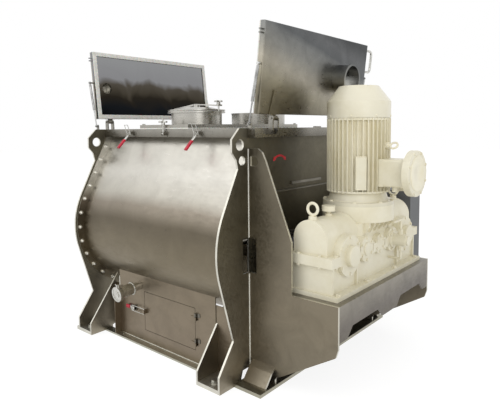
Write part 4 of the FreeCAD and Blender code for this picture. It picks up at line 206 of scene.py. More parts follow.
def plain_metal(name, light, dark, roughness, grain_mm, bump=0.2):
    """Small steel parts: machined, ground, plated or laminated, told apart by grain and tone."""
    material, tree = new_material(name)
    place = add(tree, "TexCoord").outputs["Object"]
    patch = add(tree, "TexNoise", {"Scale": 22.0, "Detail": 4.0, "Roughness": 0.6}, {"Vector": place})
    mix = add(tree, "ValToRGB", {"ramp": [(0.35, dark), (0.65, light)]}, {"Fac": patch.outputs[0]})
    scale = tuple(1000.0 / size for size in grain_mm)
    turned = add(tree, "Mapping", {"Scale": scale}, {"Vector": place})
    fine = add(tree, "TexNoise", {"Scale": 1.0, "Detail": 2.0}, {"Vector": turned.outputs[0]})
    relief = add(tree, "Bump", {"Strength": bump, "Distance": 0.0004}, {"Height": fine.outputs[0]})
    rough = add(tree, "MapRange", {"From Min": 0.3, "From Max": 0.7, "To Min": roughness * 0.7,
                                   "To Max": roughness * 1.3}, {"Value": fine.outputs[0]})
    metal = add(tree, "BsdfPrincipled", {"Metallic": 1.0},
                {"Base Color": mix.outputs[0], "Roughness": rough.outputs[0],
                 "Normal": relief.outputs[0]})
    add(tree, "OutputMaterial", None, {"Surface": metal.outputs[0]})
    return material


# Sizes and colours that a user would change

class MixerSizes(bpy.types.PropertyGroup):
    """Sizes of the fittings that are modelled here, and of the stage"""
    seal_round: FloatProperty(name="Seal rounding", description="Rounding of the lid seals' edges",
                              default=0.0035, unit="LENGTH", min=0.0)
    handle_radius: FloatProperty(name="Handle radius", description="Half the lid handle's bar",
                                 default=0.009, unit="LENGTH", min=0.002)
    handle_corner: FloatProperty(name="Handle corner", description="Bend radius of the lid handle",
                                 default=0.028, unit="LENGTH", min=0.0)
    knob_lobes: IntProperty(name="Knob lobes", description="Lobes of each star knob", default=5, min=3)
    grip_ribs: IntProperty(name="Grip ribs", description="Ribs across each red latch grip",
                           default=5, min=0)
    weld_leg: FloatProperty(name="Weld leg", description="Half width of the fillet welds",
                            default=0.0045, unit="LENGTH", min=0.001)
    floor_size: FloatProperty(name="Floor size", description="Side of the studio floor",
                              default=60.0, unit="LENGTH", min=10.0)
    lens: FloatProperty(name="Lens", description="Camera lens in millimetres", default=35.7,
                        subtype="DISTANCE_CAMERA", min=10.0)


def colour_property(name, code, text):
    """Colour that a user can change, from its sRGB hex."""
    return FloatVectorProperty(name=name, description=text, subtype="COLOR", size=4, min=0.0, max=1.0,
                               default=linear(code))


class MixerColours(bpy.types.PropertyGroup):
    """Colours of the painted, moulded and plated finishes"""
    cream: colour_property("Cream enamel", "F6F0D9", "Gear unit and motor enamel, clean")
    cream_worn: colour_property("Cream worn", "EBE3C6", "Gear unit and motor enamel, aged")
    grip: colour_property("Grip red", "CE1436", "Moulded red of the latch grips")
    grip_dark: colour_property("Grip rubbed", "9E0E2A", "Rubbed red of the latch grips")
    silicone: colour_property("Silicone", "E9E8E2", "White silicone of the seals")
    silicone_dull: colour_property("Silicone dull", "D6D4CB", "Silicone where it is handled")
    cabinet: colour_property("Cabinet grey", "6B6D6F", "Powder coat of the control cabinet")
    cabinet_dark: colour_property("Cabinet grey dark", "5A5C5E", "Powder coat where it is rubbed")
    zinc: colour_property("Zinc", "C9C9C4", "Zinc plate of the bolts")
    zinc_dark: colour_property("Zinc dull", "9A9890", "Zinc plate, dulled")
    arrow: colour_property("Arrow red", "C4242C", "Painted arrows that show which way the shafts turn")


# Finishes: each is made once and given to the CAD nodes and pieces that have it

finishes = {}

# Both lids stand open by this angle. In millimetres: their hinge pins and the polished pan's depth
lid_open = math.radians(96.4)
drive_hinge_x, idle_hinge_x, hinge_z = 817.5, -853.5, 1555.0
pan_depth = 29.5
idle_inner_side = (-math.sin(lid_open), 0.0, math.cos(lid_open))


def idle_lid_steel():
    """Lid pan, brushed outside and mirror-polished inside, with painted reflections: banded dark ones on
    the mirror and tones by height outside.
    """
    material, tree = new_material("mirror_polished_lid_steel")
    place = add(tree, "TexCoord").outputs["Object"]
    split = add(tree, "SeparateXYZ", None, {0: place})
    across = add(tree, "VectorMath", {"operation": "DOT_PRODUCT", 1: idle_inner_side}, {0: place})
    hinge = Vector((idle_hinge_x * MM, 0.0, hinge_z * MM)).dot(Vector(idle_inner_side))
    inner = add(tree, "Math", {"operation": "LESS_THAN", 1: hinge - pan_depth * MM},
                {0: across.outputs["Value"]})
    soft = add(tree, "TexNoise", {"Scale": 3.0, "Detail": 2.0, "Distortion": 1.4}, {"Vector": place})
    wander = add(tree, "Math", {"operation": "MULTIPLY_ADD", 1: 0.16, 2: -0.08}, {0: soft.outputs[0]})
    height = add(tree, "Math", {"operation": "ADD"}, {0: split.outputs["Z"], 1: wander.outputs[0]})
    # Painted reflections: dark bands on the inside mirror, and tones by height on the outside.
    bands = tone_ramp(tree, height.outputs[0],
                      [(1560, "0F1113"), (1660, "16181B"), (1745, "26221C"), (1790, "3F3A31"),
                       (1850, "4E4941"), (1905, "858587"), (2060, "8C8D8E")])
    outside = tone_ramp(tree, split.outputs["Z"], [(1560, "8C887E"), (1800, "A09C92"), (2080, "8A8A88")])
    colour = add(tree, "MixRGB", None,
                 {"Fac": inner.outputs[0], "Color1": outside, "Color2": bands})
    rough = add(tree, "MapRange", {"To Min": 0.34, "To Max": 0.12}, {"Value": inner.outputs[0]})
    turned = add(tree, "Mapping", {"Scale": (120.0, 12.0, 120.0)}, {"Vector": place})
    fine = add(tree, "TexNoise", {"Scale": 1.0, "Detail": 3.0}, {"Vector": turned.outputs[0]})
    relief = add(tree, "Bump", {"Strength": 0.08, "Distance": 0.0004}, {"Height": fine.outputs[0]})
    steel = add(tree, "BsdfPrincipled", {"Metallic": 1.0},
                {"Base Color": colour.outputs[0], "Roughness": rough.outputs[0],
                 "Normal": relief.outputs[0]})
    add(tree, "OutputMaterial", None, {"Surface": steel.outputs[0]})
    return material


def make_finishes(colours):
    """Make every finish of the mixer, each under a short name."""
    # The tones by height in every stainless finish below are painted reflection and shade.
    # Rolled 6 mm sheet, ground, with painted reflection and shade: pale where the leaning wall faces up,
    # brown where it turns under.
    finishes["trough"] = stainless(
        "ground_trough_sheet",
        [(300, "7A7160"), (470, "897F6B"), (700, "7C7361"), (880, "6B6355"), (985, "857D71"),
         (1060, "ADA99F"), (1200, "BFBCB4"), (1450, "BBB8AF")],
        # The flange ring at the idle end, below X -693 mm, is painted a flat pale tone as painted light.
        (60.0, 22.0, 22.0), 0.36, stain=0.1, patch=("X", -693.0, "A8A59A"))
    # Thick bead-blasted plate: dull, even and dark, with bright ground edges.
    finishes["plate"] = stainless(
        "bead_blasted_plate", [(0, "9A9180"), (500, "8A8474"), (900, "77715F"), (1450, "6C6759")],
        (11.0, 11.0, 11.0), 0.45, stain=0.18, edge=("X", "DAD7CC"))
    finishes["foot"] = stainless(
        "blasted_foot_plate", [(0, "A49C8B"), (60, "9A9282"), (415, "8C8574")],
        (11.0, 11.0, 11.0), 0.42, stain=0.2, edge=("X", "D6D3C8"))
    finishes["side"] = stainless(
        "blasted_side_plate", [(0, "8C8474"), (130, "847C6C"), (450, "847B6A"), (800, "857D6D"),
                               (1380, "6D6759")],
        (12.0, 12.0, 12.0), 0.42, stain=0.16, edge=("Y", "CFCBBF"))
    # The skirt's sheet is ground; its sill, a rolled flat in the bottom 12 mm, is painted pale as painted
    # light.
    finishes["skirt"] = stainless(
        "ground_skirt_sheet", [(0, "B4B2A4"), (12, "B4B2A4"), (14, "8C8070"), (380, "857A69")],
        (60.0, 20.0, 20.0), 0.38, stain=0.14, drift=0.5)
    # Square bar ground along its length: bright fine grain along X, and painted shade that darkens it
    # towards its underside.
    finishes["bar"] = stainless(
        "ground_frame_bar", [(1440, "77736A"), (1500, "9C9991")], (80.0, 12.0, 12.0), 0.3, stain=0.14)
    finishes["cover"] = stainless(
        "brushed_cover", [(1440, "8B887F"), (1560, "B4B1A9"), (1700, "C6C4BE")],
        (60.0, 12.0, 12.0), 0.28, stain=0.12)
    # Brushed lid seen from outside: dark room reflections lie across it.
    finishes["lid"] = stainless(
        "brushed_lid", [(1560, "7F7969"), (1650, "9A9482"), (1750, "AAA496"), (1870, "8C8B85"),
                        (1950, "7C7D7B"), (1990, "626465"), (2060, "68696A"), (2170, "4A4C4D")],
        (20.0, 60.0, 20.0), 0.34, direction=(0.0, 0.25, 1.0), stain=0.2, drift=110.0)
    finishes["idle_lid"] = idle_lid_steel()
    # Painted light and shade by height: the rail at the floor, up to 20 mm, pale as painted light, and the
    # web under the drive end, from 24 to 299 mm, near black as painted shadow.
    finishes["platform"] = stainless(
        "ground_platform_sheet", [(0, "A9A595"), (20, "A9A595"), (24, "35332E"), (299, "35332E"),
                                  (301, "6E685C"), (440, "77716A"), (600, "9A958A"), (1060, "9A958A")],
        (40.0, 40.0, 14.0), 0.4, stain=0.2, drift=0.5)
    finishes["paddle"] = stainless(
        "ground_paddle_steel", [(300, "8E897E"), (1300, "A8A49A")], (20.0, 20.0, 20.0), 0.34)
    # Turned and polished fittings: bright, with faint tool rings.
    finishes["fitting"] = plain_metal("polished_fitting_steel", linear("D4D3CE"), linear("A9A7A0"),
                                      0.2, (10.0, 10.0, 3.0), 0.1)
    finishes["strut"] = plain_metal("ground_strut_rod", linear("B9B9B7"), linear("8E8E8C"),
                                    0.22, (4.0, 4.0, 60.0), 0.1)
    # Edges and weld runs ground bright, close to a mirror.
    finishes["bright"] = stainless("bright_ground_steel", [(0, "DDDACF"), (1450, "E6E3DA")],
                                   (12.0, 12.0, 12.0), 0.3, stain=0.08)
    finishes["zinc"] = plain_metal("zinc_plated_steel", colours.zinc, colours.zinc_dark,
                                   0.38, (3.0, 3.0, 3.0))
    finishes["gear"] = plain_metal("hobbed_gear_steel", linear("83838A"), linear("5F5F63"),
                                   0.32, (3.0, 6.0, 6.0))
    finishes["bearing"] = plain_metal("ground_bearing_steel", linear("C2C2C6"), linear("9C9CA0"),
                                      0.18, (5.0, 5.0, 5.0), 0.05)
    # Stacked electrical sheet: lines every few millimetres up the stack.
    finishes["laminated"] = plain_metal("laminated_sheet_steel", linear("635C58"), linear("3E3936"),
                                        0.5, (60.0, 60.0, 3.0), 0.5)
    # Cast iron under cream enamel: sand-mould grain a few millimetres wide shows through.
    finishes["casting"] = enamel("cream_enamel_casting", colours.cream, colours.cream_worn,
                                 9.0, 0.35, 0.42, 0.25)
    finishes["aluminium"] = enamel("cream_enamel_motor", colours.cream, colours.cream_worn,
                                   7.0, 0.22, 0.4, 0.3, 0.9, 1.6)
    finishes["sheet"] = enamel("cream_enamel_sheet", colours.cream, colours.cream_worn,
                               6.0, 0.12, 0.34, 0.4, 1.4, 1.8)
    finishes["cabinet"] = enamel("grey_powder_coat", colours.cabinet, colours.cabinet_dark,
                                 4.0, 0.4, 0.5, 0.0, 0.4, 1.1)
    finishes["arrow"] = enamel("red_arrow_paint", colours.arrow, linear("A81C26"), 8.0, 0.2, 0.5, 0.1)
    finishes["grip"] = moulded("moulded_red_grip", colours.grip, colours.grip_dark, 0.38)
    finishes["silicone"] = moulded("white_silicone", colours.silicone, colours.silicone_dull,
                                   0.55, 5.0, 0.2, 0.1)


node_finishes = {
    "trough": ["trough_shell"],
    "plate": ["end_plates"],
    "side": ["side_plates"],
    "foot": ["support_feet"],
    "skirt": ["skirts", "inspection_door"],
    "bar": ["top_frame", "bar_fittings", "lid_brackets", "door_fittings"],
    "cover": ["middle_cover", "manhole_brackets", "manhole_cover"],
    "lid": ["lid_drive"],
    "idle_lid": ["lid_idle"],
    "platform": ["platform"],
    "paddle": ["agitator_front", "agitator_rear", "flap_front", "flap_rear", "flap_drives"],
    "fitting": ["sampling_port", "clamp_bolt", "clamp_knob", "manhole_knob", "latch_bail_idle",
                "latch_bail_drive", "door_bail", "lid_trim_idle", "lid_trim_drive"],
    "strut": ["strut_rods_idle", "strut_rods_drive", "strut_cylinders_idle", "strut_cylinders_drive"],
    "zinc": ["frame_bolts"],
    "gear": ["output_front", "output_rear", "idler_front", "idler_rear", "input_front", "input_rear"],
    "bearing": ["bearings"],
    "laminated": ["stator", "motor_rotor"],
    "casting": ["gear_case_lower", "gear_case_upper", "gear_covers", "shaft_housings", "motor_adapter",
                "gear_bolts", "unit_fittings"],
    "aluminium": ["motor_frame", "terminal_box"],
    "sheet": ["fan_cowl"],
    "cabinet": ["cabinet", "cabinet_door"],
    "grip": ["latch_lever_idle", "latch_lever_drive", "door_lever"],
    "silicone": ["gaskets"],
}


# Modelling helpers, in millimetres

def clear_selection():
    """Back to object mode with nothing selected."""
    if bpy.context.object and bpy.context.object.mode != "OBJECT":
        bpy.ops.object.mode_set(mode="OBJECT")
    bpy.ops.object.select_all(action="DESELECT")


def select_only(piece):
    """One piece selected and active."""
    clear_selection()
    piece.select_set(True)
    bpy.context.view_layer.objects.active = piece


def apply_place(piece):
    """Put the piece's place, turn and scale into its mesh."""
    select_only(piece)
    bpy.ops.object.transform_apply(location=True, rotation=True, scale=True)


def block(x0, x1, y0, y1, z0, z1):
    """Cube primitive between two corners."""
    clear_selection()
    centre = ((x0 + x1) / 2 * MM, (y0 + y1) / 2 * MM, (z0 + z1) / 2 * MM)
    bpy.ops.mesh.primitive_cube_add(size=1.0, location=centre,
                                    scale=((x1 - x0) * MM, (y1 - y0) * MM, (z1 - z0) * MM))
    piece = bpy.context.object
    apply_place(piece)
    return piece


turns = {"X": (0.0, math.pi / 2, 0.0), "Y": (-math.pi / 2, 0.0, 0.0), "Z": (0.0, 0.0, 0.0)}


def round_bar(axis, start, length, radius, sides=32):
    """Cylinder primitive that runs from start along X, Y or Z."""
    clear_selection()
    middle = Vector(start) * MM
    middle["XYZ".index(axis)] += length / 2 * MM
    bpy.ops.mesh.primitive_cylinder_add(vertices=sides, radius=radius * MM, depth=abs(length) * MM,
                                        location=middle, rotation=turns[axis])
    piece = bpy.context.object
    apply_place(piece)
    return piece


def pick(piece, kind, test):
    """In edit mode, select the faces, edges or verts whose place and direction pass the test."""
    bpy.ops.mesh.select_mode(type={"faces": "FACE", "edges": "EDGE", "verts": "VERT"}[kind])
    bpy.ops.mesh.select_all(action="DESELECT")
    mesh = bmesh.from_edit_mesh(piece.data)
    for item in getattr(mesh, kind):
        if kind == "edges":
            place = (item.verts[0].co + item.verts[1].co) / 2
            way = (item.verts[1].co - item.verts[0].co).normalized()
        else:
            place = item.co if kind == "verts" else item.calc_center_median()
            way = item.normal
        if test(place / MM, way):
            item.select_set(True)
    bmesh.update_edit_mesh(piece.data)


def rounded(piece, width, segments=2):
    """Round the sharp edges with an applied Bevel modifier."""
    select_only(piece)
    bevel = piece.modifiers.new("round", "BEVEL")
    bevel.width = width * MM
    bevel.segments = segments
    bevel.limit_method = "ANGLE"
    bevel.angle_limit = math.radians(40)
    bpy.ops.object.modifier_apply(modifier=bevel.name)
    return piece


def merged(pieces):
    """Join pieces into the first."""
    clear_selection()
    for piece in pieces:
        piece.select_set(True)
    bpy.context.view_layer.objects.active = pieces[0]
    if len(pieces) > 1:
        bpy.ops.object.join()
    return bpy.context.object


def copied(piece, matrix):
    """Copy with its own mesh, moved by the matrix."""
    select_only(piece)
    bpy.ops.object.duplicate(linked=False)
    copy = bpy.context.object
    return placed(copy, matrix)


def placed(piece, matrix):
    """Move the mesh by the matrix, and turn its faces outwards again after a mirror."""
    piece.matrix_world = matrix @ piece.matrix_world
    apply_place(piece)
    if matrix.determinant() < 0:
        bpy.ops.object.mode_set(mode="EDIT")
        bpy.ops.mesh.select_all(action="SELECT")
        bpy.ops.mesh.normals_make_consistent(inside=False)
        bpy.ops.object.mode_set(mode="OBJECT")
    return piece


def bent_tube(points, radius, corner, closed=False, sides=4):
    """Round bar along the points, with bent corners."""
    clear_selection()
    bpy.ops.mesh.primitive_circle_add(vertices=max(3, len(points)), radius=0.1, location=(0, 0, 0))
    piece = bpy.context.object
    bpy.ops.object.mode_set(mode="EDIT")
    mesh = bmesh.from_edit_mesh(piece.data)
    mesh.verts.ensure_lookup_table()
    for vert, point in zip(mesh.verts, points):
        vert.co = Vector(point) * MM
    if not closed:
        mesh.edges.ensure_lookup_table()
        first, last = mesh.verts[0], mesh.verts[len(points) - 1]
        spare = [edge for edge in mesh.edges if first in edge.verts and last in edge.verts]
        bmesh.ops.delete(mesh, geom=spare, context="EDGES")
    bmesh.update_edit_mesh(piece.data)
    if corner > 0:
        ends = [] if closed else [Vector(points[0]), Vector(points[-1])]
        pick(piece, "verts", lambda place, way: all((place - end).length > 0.5 for end in ends))
        bpy.ops.mesh.bevel(affect="VERTICES", offset=corner * MM, segments=6)
    bpy.ops.object.mode_set(mode="OBJECT")
    bpy.ops.object.convert(target="CURVE")
    piece = bpy.context.object
    piece.data.dimensions = "3D"
    piece.data.bevel_depth = radius * MM
    piece.data.bevel_resolution = sides
    piece.data.use_fill_caps = not closed
    bpy.ops.object.convert(target="MESH")
    return bpy.context.object


def lid_place(side):
    """Where a closed drive-end lid's piece goes on either open lid."""
    hinge = Matrix.Translation(((drive_hinge_x if side > 0 else idle_hinge_x) * MM, 0.0, hinge_z * MM))
    swing = hinge @ Matrix.Rotation(side * lid_open, 4, "Y") @ hinge.inverted()
    if side > 0:
        return swing
    flip = Matrix.Translation(((drive_hinge_x + idle_hinge_x) * MM, 0.0, 0.0))
    return swing @ flip @ Matrix.Diagonal((-1.0, 1.0, 1.0, 1.0))


def settle(piece, name, finish, body, replaces=(), angle=35):
    """Name a finished piece, give it its finish, and fix it to its body."""
    piece.name = name
    piece.data.name = name
    apply_place(piece)
    bpy.ops.object.shade_smooth_by_angle(angle=math.radians(angle))
    piece.data.materials.clear()
    piece.data.materials.append(finishes[finish])
    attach(piece, body)
    if replaces:
        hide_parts(*replaces)
    clear_selection()
    return piece


# Operators

class MIXER_OT_finishes(bpy.types.Operator):
    """Make the finishes and give them to the CAD nodes"""
    bl_idname = "mixer.finishes"
    bl_label = "Finishes"

    def execute(self, context):
        make_finishes(context.scene.mixer_colours)
        for finish, names in node_finishes.items():
            for name in names:
                piece = bpy.data.objects.get(name)
                if piece is None:
                    raise RuntimeError("no CAD node called " + name)
                if not piece.material_slots:
                    piece.data.materials.append(finishes[finish])
                for slot in piece.material_slots:
                    slot.material = finishes[finish]
        return {"FINISHED"}


# A closed drive-end lid, in millimetres: its pan, the seal under it, its handle and its port
lid_x0, lid_x1 = 272.5, 797.0
lid_y0, lid_y1 = -600.4, 613.4
lid_z0, lid_z1 = 1507.8, 1543.8
seal_z0 = 1497.8
seal_w = 32.0
handle_in, handle_width, handle_reach = 36, 155, 100
port_from_hinge, port_from_edge, port_rise = 263, 105, 24
port_cap_r, port_cap_t = 58, 6


class MIXER_OT_lid_seals(bpy.types.Operator):
    """Silicone seals round the two lids, with rounded edges"""
    bl_idname = "mixer.lid_seals"
    bl_label = "Lid seals"

    def execute(self, context):
        sizes = context.scene.mixer_sizes
        seal = block(lid_x0, lid_x1, lid_y0, lid_y1, seal_z0, lid_z0)
        bpy.ops.object.mode_set(mode="EDIT")
        pick(seal, "faces", lambda place, way: abs(way.z) > 0.9)
        bpy.ops.mesh.inset(thickness=seal_w * MM)
        bpy.ops.mesh.bridge_edge_loops()
        bpy.ops.object.mode_set(mode="OBJECT")
        rounded(seal, sizes.seal_round / MM, 3)
        idle = copied(seal, lid_place(-1))
        placed(seal, lid_place(1))
        settle(seal, "seal_drive", "silicone", "drive_lid", ["lid_trim_drive"])
        settle(idle, "seal_idle", "silicone", "idle_lid", ["lid_trim_idle"])
        return {"FINISHED"}


class MIXER_OT_lid_fittings(bpy.types.Operator):
    """Bar handle with its weld collars, and the clamped cap on the idle lid's port"""
    bl_idname = "mixer.lid_fittings"
    bl_label = "Lid handle and port cap"

    def execute(self, context):
        sizes = context.scene.mixer_sizes
        radius = sizes.handle_radius / MM
        x0 = lid_x0 + handle_in
        x1 = x0 + handle_width
        root = lid_y1 - 1
        y = lid_y1 + handle_reach
        z = (lid_z0 + lid_z1) / 2
        bar = bent_tube([(x0, root, z), (x0, y, z), (x1, y, z), (x1, root, z)], radius,
                        sizes.handle_corner / MM)
        collars = [rounded(round_bar("Y", (x, root, z), 7, radius + 5), 3) for x in (x0, x1)]
        handle = placed(merged([bar] + collars), lid_place(1))
        settle(handle, "lid_handle", "fitting", "drive_lid", ["lid_trim_drive"])

        x, y, z = drive_hinge_x - port_from_hinge, lid_y0 + port_from_edge, lid_z1 + port_rise
        cap = round_bar("Z", (x, y, z), port_cap_t, port_cap_r, 64)
        bpy.ops.object.mode_set(mode="EDIT")
        pick(cap, "faces", lambda place, way: way.z > 0.9)
        bpy.ops.mesh.inset(thickness=12 * MM, depth=0)
        bpy.ops.mesh.inset(thickness=6 * MM, depth=-2.5 * MM)
        bpy.ops.object.mode_set(mode="OBJECT")
        rounded(cap, 1.5)
        placed(cap, lid_place(-1))
        settle(cap, "port_cap_idle", "fitting", "idle_lid", ["lid_trim_idle"])
        return {"FINISHED"}


def star(lobes, hub_r, reach, height):
    """Star knob on the origin: a ring of points pulled out to lobes, drawn up, crowned and rounded."""
    clear_selection()
    bpy.ops.mesh.primitive_circle_add(vertices=lobes * 6, radius=hub_r * MM, fill_type="NGON",
                                      location=(0, 0, 0))
    knob = bpy.context.object
    bpy.ops.object.mode_set(mode="EDIT")
    mesh = bmesh.from_edit_mesh(knob.data)
    for vert in mesh.verts:
        angle = math.atan2(vert.co.y, vert.co.x)
        lobe = 0.5 + 0.5 * math.cos(lobes * angle)
        vert.co *= 1 + (reach / hub_r - 1) * lobe ** 0.7
    bmesh.update_edit_mesh(knob.data)
    bpy.ops.mesh.select_all(action="SELECT")
    bpy.ops.mesh.extrude_region_move(TRANSFORM_OT_translate={"value": (0, 0, height * MM)})
    bpy.ops.mesh.inset(thickness=2.5 * MM, depth=1.5 * MM)
    bpy.ops.mesh.inset(thickness=5.0 * MM, depth=1.0 * MM)
    bpy.ops.mesh.select_all(action="SELECT")
    bpy.ops.mesh.normals_make_consistent(inside=False)
    bpy.ops.object.mode_set(mode="OBJECT")
    return rounded(knob, 2.0)


# Star knobs: piece, node, body, place of the foot in millimetres and screw, drawn down from it
star_knobs = (
    ("star_knob_manhole", "manhole_knob", "manhole_star_knob", (213, -309, 1665.9), -60),
    ("star_knob_clamp", "clamp_knob", "cover_clamp_knob", (0, -628, 1525.8), 0))
knob_hub_r, knob_reach, knob_height = 15, 32, 10
knob_foot_r, knob_foot_h, knob_washer_t, screw_r = 13, 16, 5, 6


class MIXER_OT_star_knobs(bpy.types.Operator):
    """Polished star knobs on the manhole screw and the cover clamp"""
    bl_idname = "mixer.star_knobs"
    bl_label = "Star knobs"

    def execute(self, context):
        lobes = context.scene.mixer_sizes.knob_lobes
        for name, node, body, (x, y, z), screw in star_knobs:
            hub = round_bar("Z", (x, y, z), knob_foot_h, knob_foot_r)
            washer = round_bar("Z", (x, y, z - knob_washer_t), knob_washer_t, knob_foot_r + 2)
            pieces = [rounded(hub, 1.0), rounded(washer, 0.8)]
            if screw:
                pieces.append(round_bar("Z", (x, y, z), screw, screw_r))
            knob = star(lobes, knob_hub_r, knob_reach, knob_height)
            placed(knob, Matrix.Translation((x * MM, y * MM, (z + knob_foot_h - 3) * MM)))
            piece = merged([knob] + pieces)
            settle(piece, name, "fitting", body, [node], 50)
        return {"FINISHED"}


# Latch levers: name, node, body, pivot in millimetres, turn, reach of the lever and length of its grip
latches = (
    ("idle", "latch_lever_idle", "idle_latch_lever", (-367, -628, 1472), (-45, "X"), 150, 80),
    ("drive", "latch_lever_drive", "drive_latch_lever", (333, -628, 1472), (-45, "X"), 150, 80),
    ("door", "door_lever", "door_latch_lever", (-245, -729, 232), (90, "Y"), 84, 40))
web_half, cheek_t, grip_half, grip_half_t = 10.6, 2.5, 12, 7


def latch_lever(ribs, reach, grip_l):
    """Toggle lever drawn along -Z from its pivot on the origin: steel web and ribbed red grip."""
    top = grip_l - reach
    web = block(-web_half, web_half, -3, 3, top - 4, 5)
    bpy.ops.object.mode_set(mode="EDIT")
    pick(web, "faces", lambda place, way: abs(way.x) > 0.9)
    bpy.ops.mesh.inset(thickness=2 * MM)
    bpy.ops.mesh.extrude_region_shrink_fatten(TRANSFORM_OT_shrink_fatten={"value": -2.5 * MM})
    bpy.ops.object.mode_set(mode="OBJECT")
    rounded(web, 1.0)
    cheeks = []
    for x in (-web_half, web_half - cheek_t):
        cheek = block(x, x + cheek_t, -7, 7, -30, 7)
        bpy.ops.object.mode_set(mode="EDIT")
        pick(cheek, "edges", lambda place, way: abs(way.x) > 0.9)
        bpy.ops.mesh.bevel(offset=5 * MM, segments=5)
        bpy.ops.object.mode_set(mode="OBJECT")
        cheeks.append(cheek)
    web = merged([web] + cheeks)
    grip = block(-grip_half, grip_half, -grip_half_t, grip_half_t, -reach, top)
    bpy.ops.object.mode_set(mode="EDIT")
    pick(grip, "edges", lambda place, way: abs(way.z) > 0.9)
    bpy.ops.mesh.bevel(offset=5 * MM, segments=4)
    bpy.ops.object.mode_set(mode="OBJECT")
    rounded(grip, 3.0, 3)
    bars = []
    for i in range(ribs):
        z = 5 - reach + i * (grip_l - 12) / max(1, ribs - 1)
        for y in (-grip_half_t - 0.3, grip_half_t - 0.5):
            bars.append(rounded(block(-9, 9, y, y + 0.8, z, z + 3), 0.35, 1))
    return web, merged([grip] + bars)


class MIXER_OT_latches(bpy.types.Operator):
    """Toggle latch levers with red grips on the front bar and beside the door"""
    bl_idname = "mixer.latches"
    bl_label = "Latch levers"

    def execute(self, context):
        ribs = context.scene.mixer_sizes.grip_ribs
        for name, node, body, pivot, (degrees, axis), reach, grip_l in latches:
            place = Matrix.Translation(Vector(pivot) * MM) @ Matrix.Rotation(math.radians(degrees), 4, axis)
            web, grip = latch_lever(ribs, reach, grip_l)
            settle(placed(web, place), "latch_web_" + name, "fitting", body, [node])
            settle(placed(grip, place), "latch_grip_" + name, "grip", body, [node])
        return {"FINISHED"}


# Idle end's flange ring, in millimetres: its face, the round part's centre, radius and step in
# degrees, and the first bolt and the step of the straight part
ring_face = -692.5
ring_y, ring_z, ring_r, ring_step = 375, 781, 485, 12.57
wall_y, wall_z, wall_step_y, wall_step_z = 768, 1079, -48.7, 96


class MIXER_OT_ring_nuts(bpy.types.Operator):
    """Bright domed nuts on washers along the idle end's flange ring"""
    bl_idname = "mixer.ring_nuts"
    bl_label = "Flange ring nuts"

    def execute(self, context):
        washer = rounded(round_bar("X", (ring_face, 0, 0), 3, 15, 24), 0.8)
        nut = rounded(round_bar("X", (ring_face + 3, 0, 0), 11, 11.5, 6), 1.2)
        dome = rounded(round_bar("X", (ring_face + 14, 0, 0), 7, 9, 24), 3.5, 3)
        model = merged([washer, nut, dome])
        places = []
        for i in range(-2, 6):
            angle = math.radians(ring_step * i)
            places.append((ring_y + ring_r * math.cos(angle), ring_z - ring_r * math.sin(angle)))
        for i in range(4):
            places.append((wall_y + wall_step_y * i, wall_z + wall_step_z * i))
        nuts = []
        for y, z in places:
            for side in (-1, 1):
                nuts.append(copied(model, Matrix.Translation((0, side * y * MM, z * MM))))
        bpy.data.objects.remove(model)
        settle(merged(nuts), "ring_nuts", "bright", "mixer_frame")
        return {"FINISHED"}


# Plates behind the feet, in millimetres: x from and to, middle of the sheet in y, and top
back_plates = ((553, 726, 709, 430), (-552, -420, 650, 340))
back_plate_z0, back_plate_half_t = 12, 2


class MIXER_OT_foot_back_plates(bpy.types.Operator):
    """Sheet that closes the skirt behind each support foot"""
    bl_idname = "mixer.foot_back_plates"
    bl_label = "Foot back plates"

    def execute(self, context):
        sheets = []
        for side in (-1, 1):
            for x0, x1, y, z1 in back_plates:
                sheets.append(block(x0, x1, side * y - back_plate_half_t, side * y + back_plate_half_t,
                                    back_plate_z0, z1))
        settle(rounded(merged(sheets), 0.6, 1), "foot_back_plates", "skirt", "mixer_frame")
        return {"FINISHED"}


# Weld seams, each there on both sides, in millimetres: group, start, end and share of the weld leg
weld_runs = (
    ("side_plates", (743, 618.5, 24), (743, 618.5, 640), 1.0),
    ("side_plates", (743, 618.5, 856), (743, 618.5, 1378), 1.0),
    ("skirts", (-424, 715, 13), (-424, 715, 430), 0.8),
    ("skirts", (-400, 715.5, 13), (540, 715.5, 13), 0.7))


class MIXER_OT_weld_seams(bpy.types.Operator):
    """Ground weld seams at the side plates, the skirts' ends and the sills"""
    bl_idname = "mixer.weld_seams"
    bl_label = "Weld seams"

    def execute(self, context):
        leg = context.scene.mixer_sizes.weld_leg / MM
        beads = {}
        for side in (-1, 1):
            for group, start, end, share in weld_runs:
                start, end = [Vector((x, side * y, z)) for x, y, z in (start, end)]
                bead = bent_tube([start, (start + end) / 2, end], leg * share, 0, sides=2)
                beads.setdefault(group, []).append(bead)
        for group, pieces in beads.items():
            settle(merged(pieces), "weld_" + group, "bright", "mixer_frame")
        return {"FINISHED"}


# Painted arrows on the drive end plate: radius, width, half angle in degrees, film and place
arrow_r, arrow_w, arrow_half, film = 84, 12, 33, 0.8
arrow_x, arrow_y, arrow_z = 742.4, 315, 1241


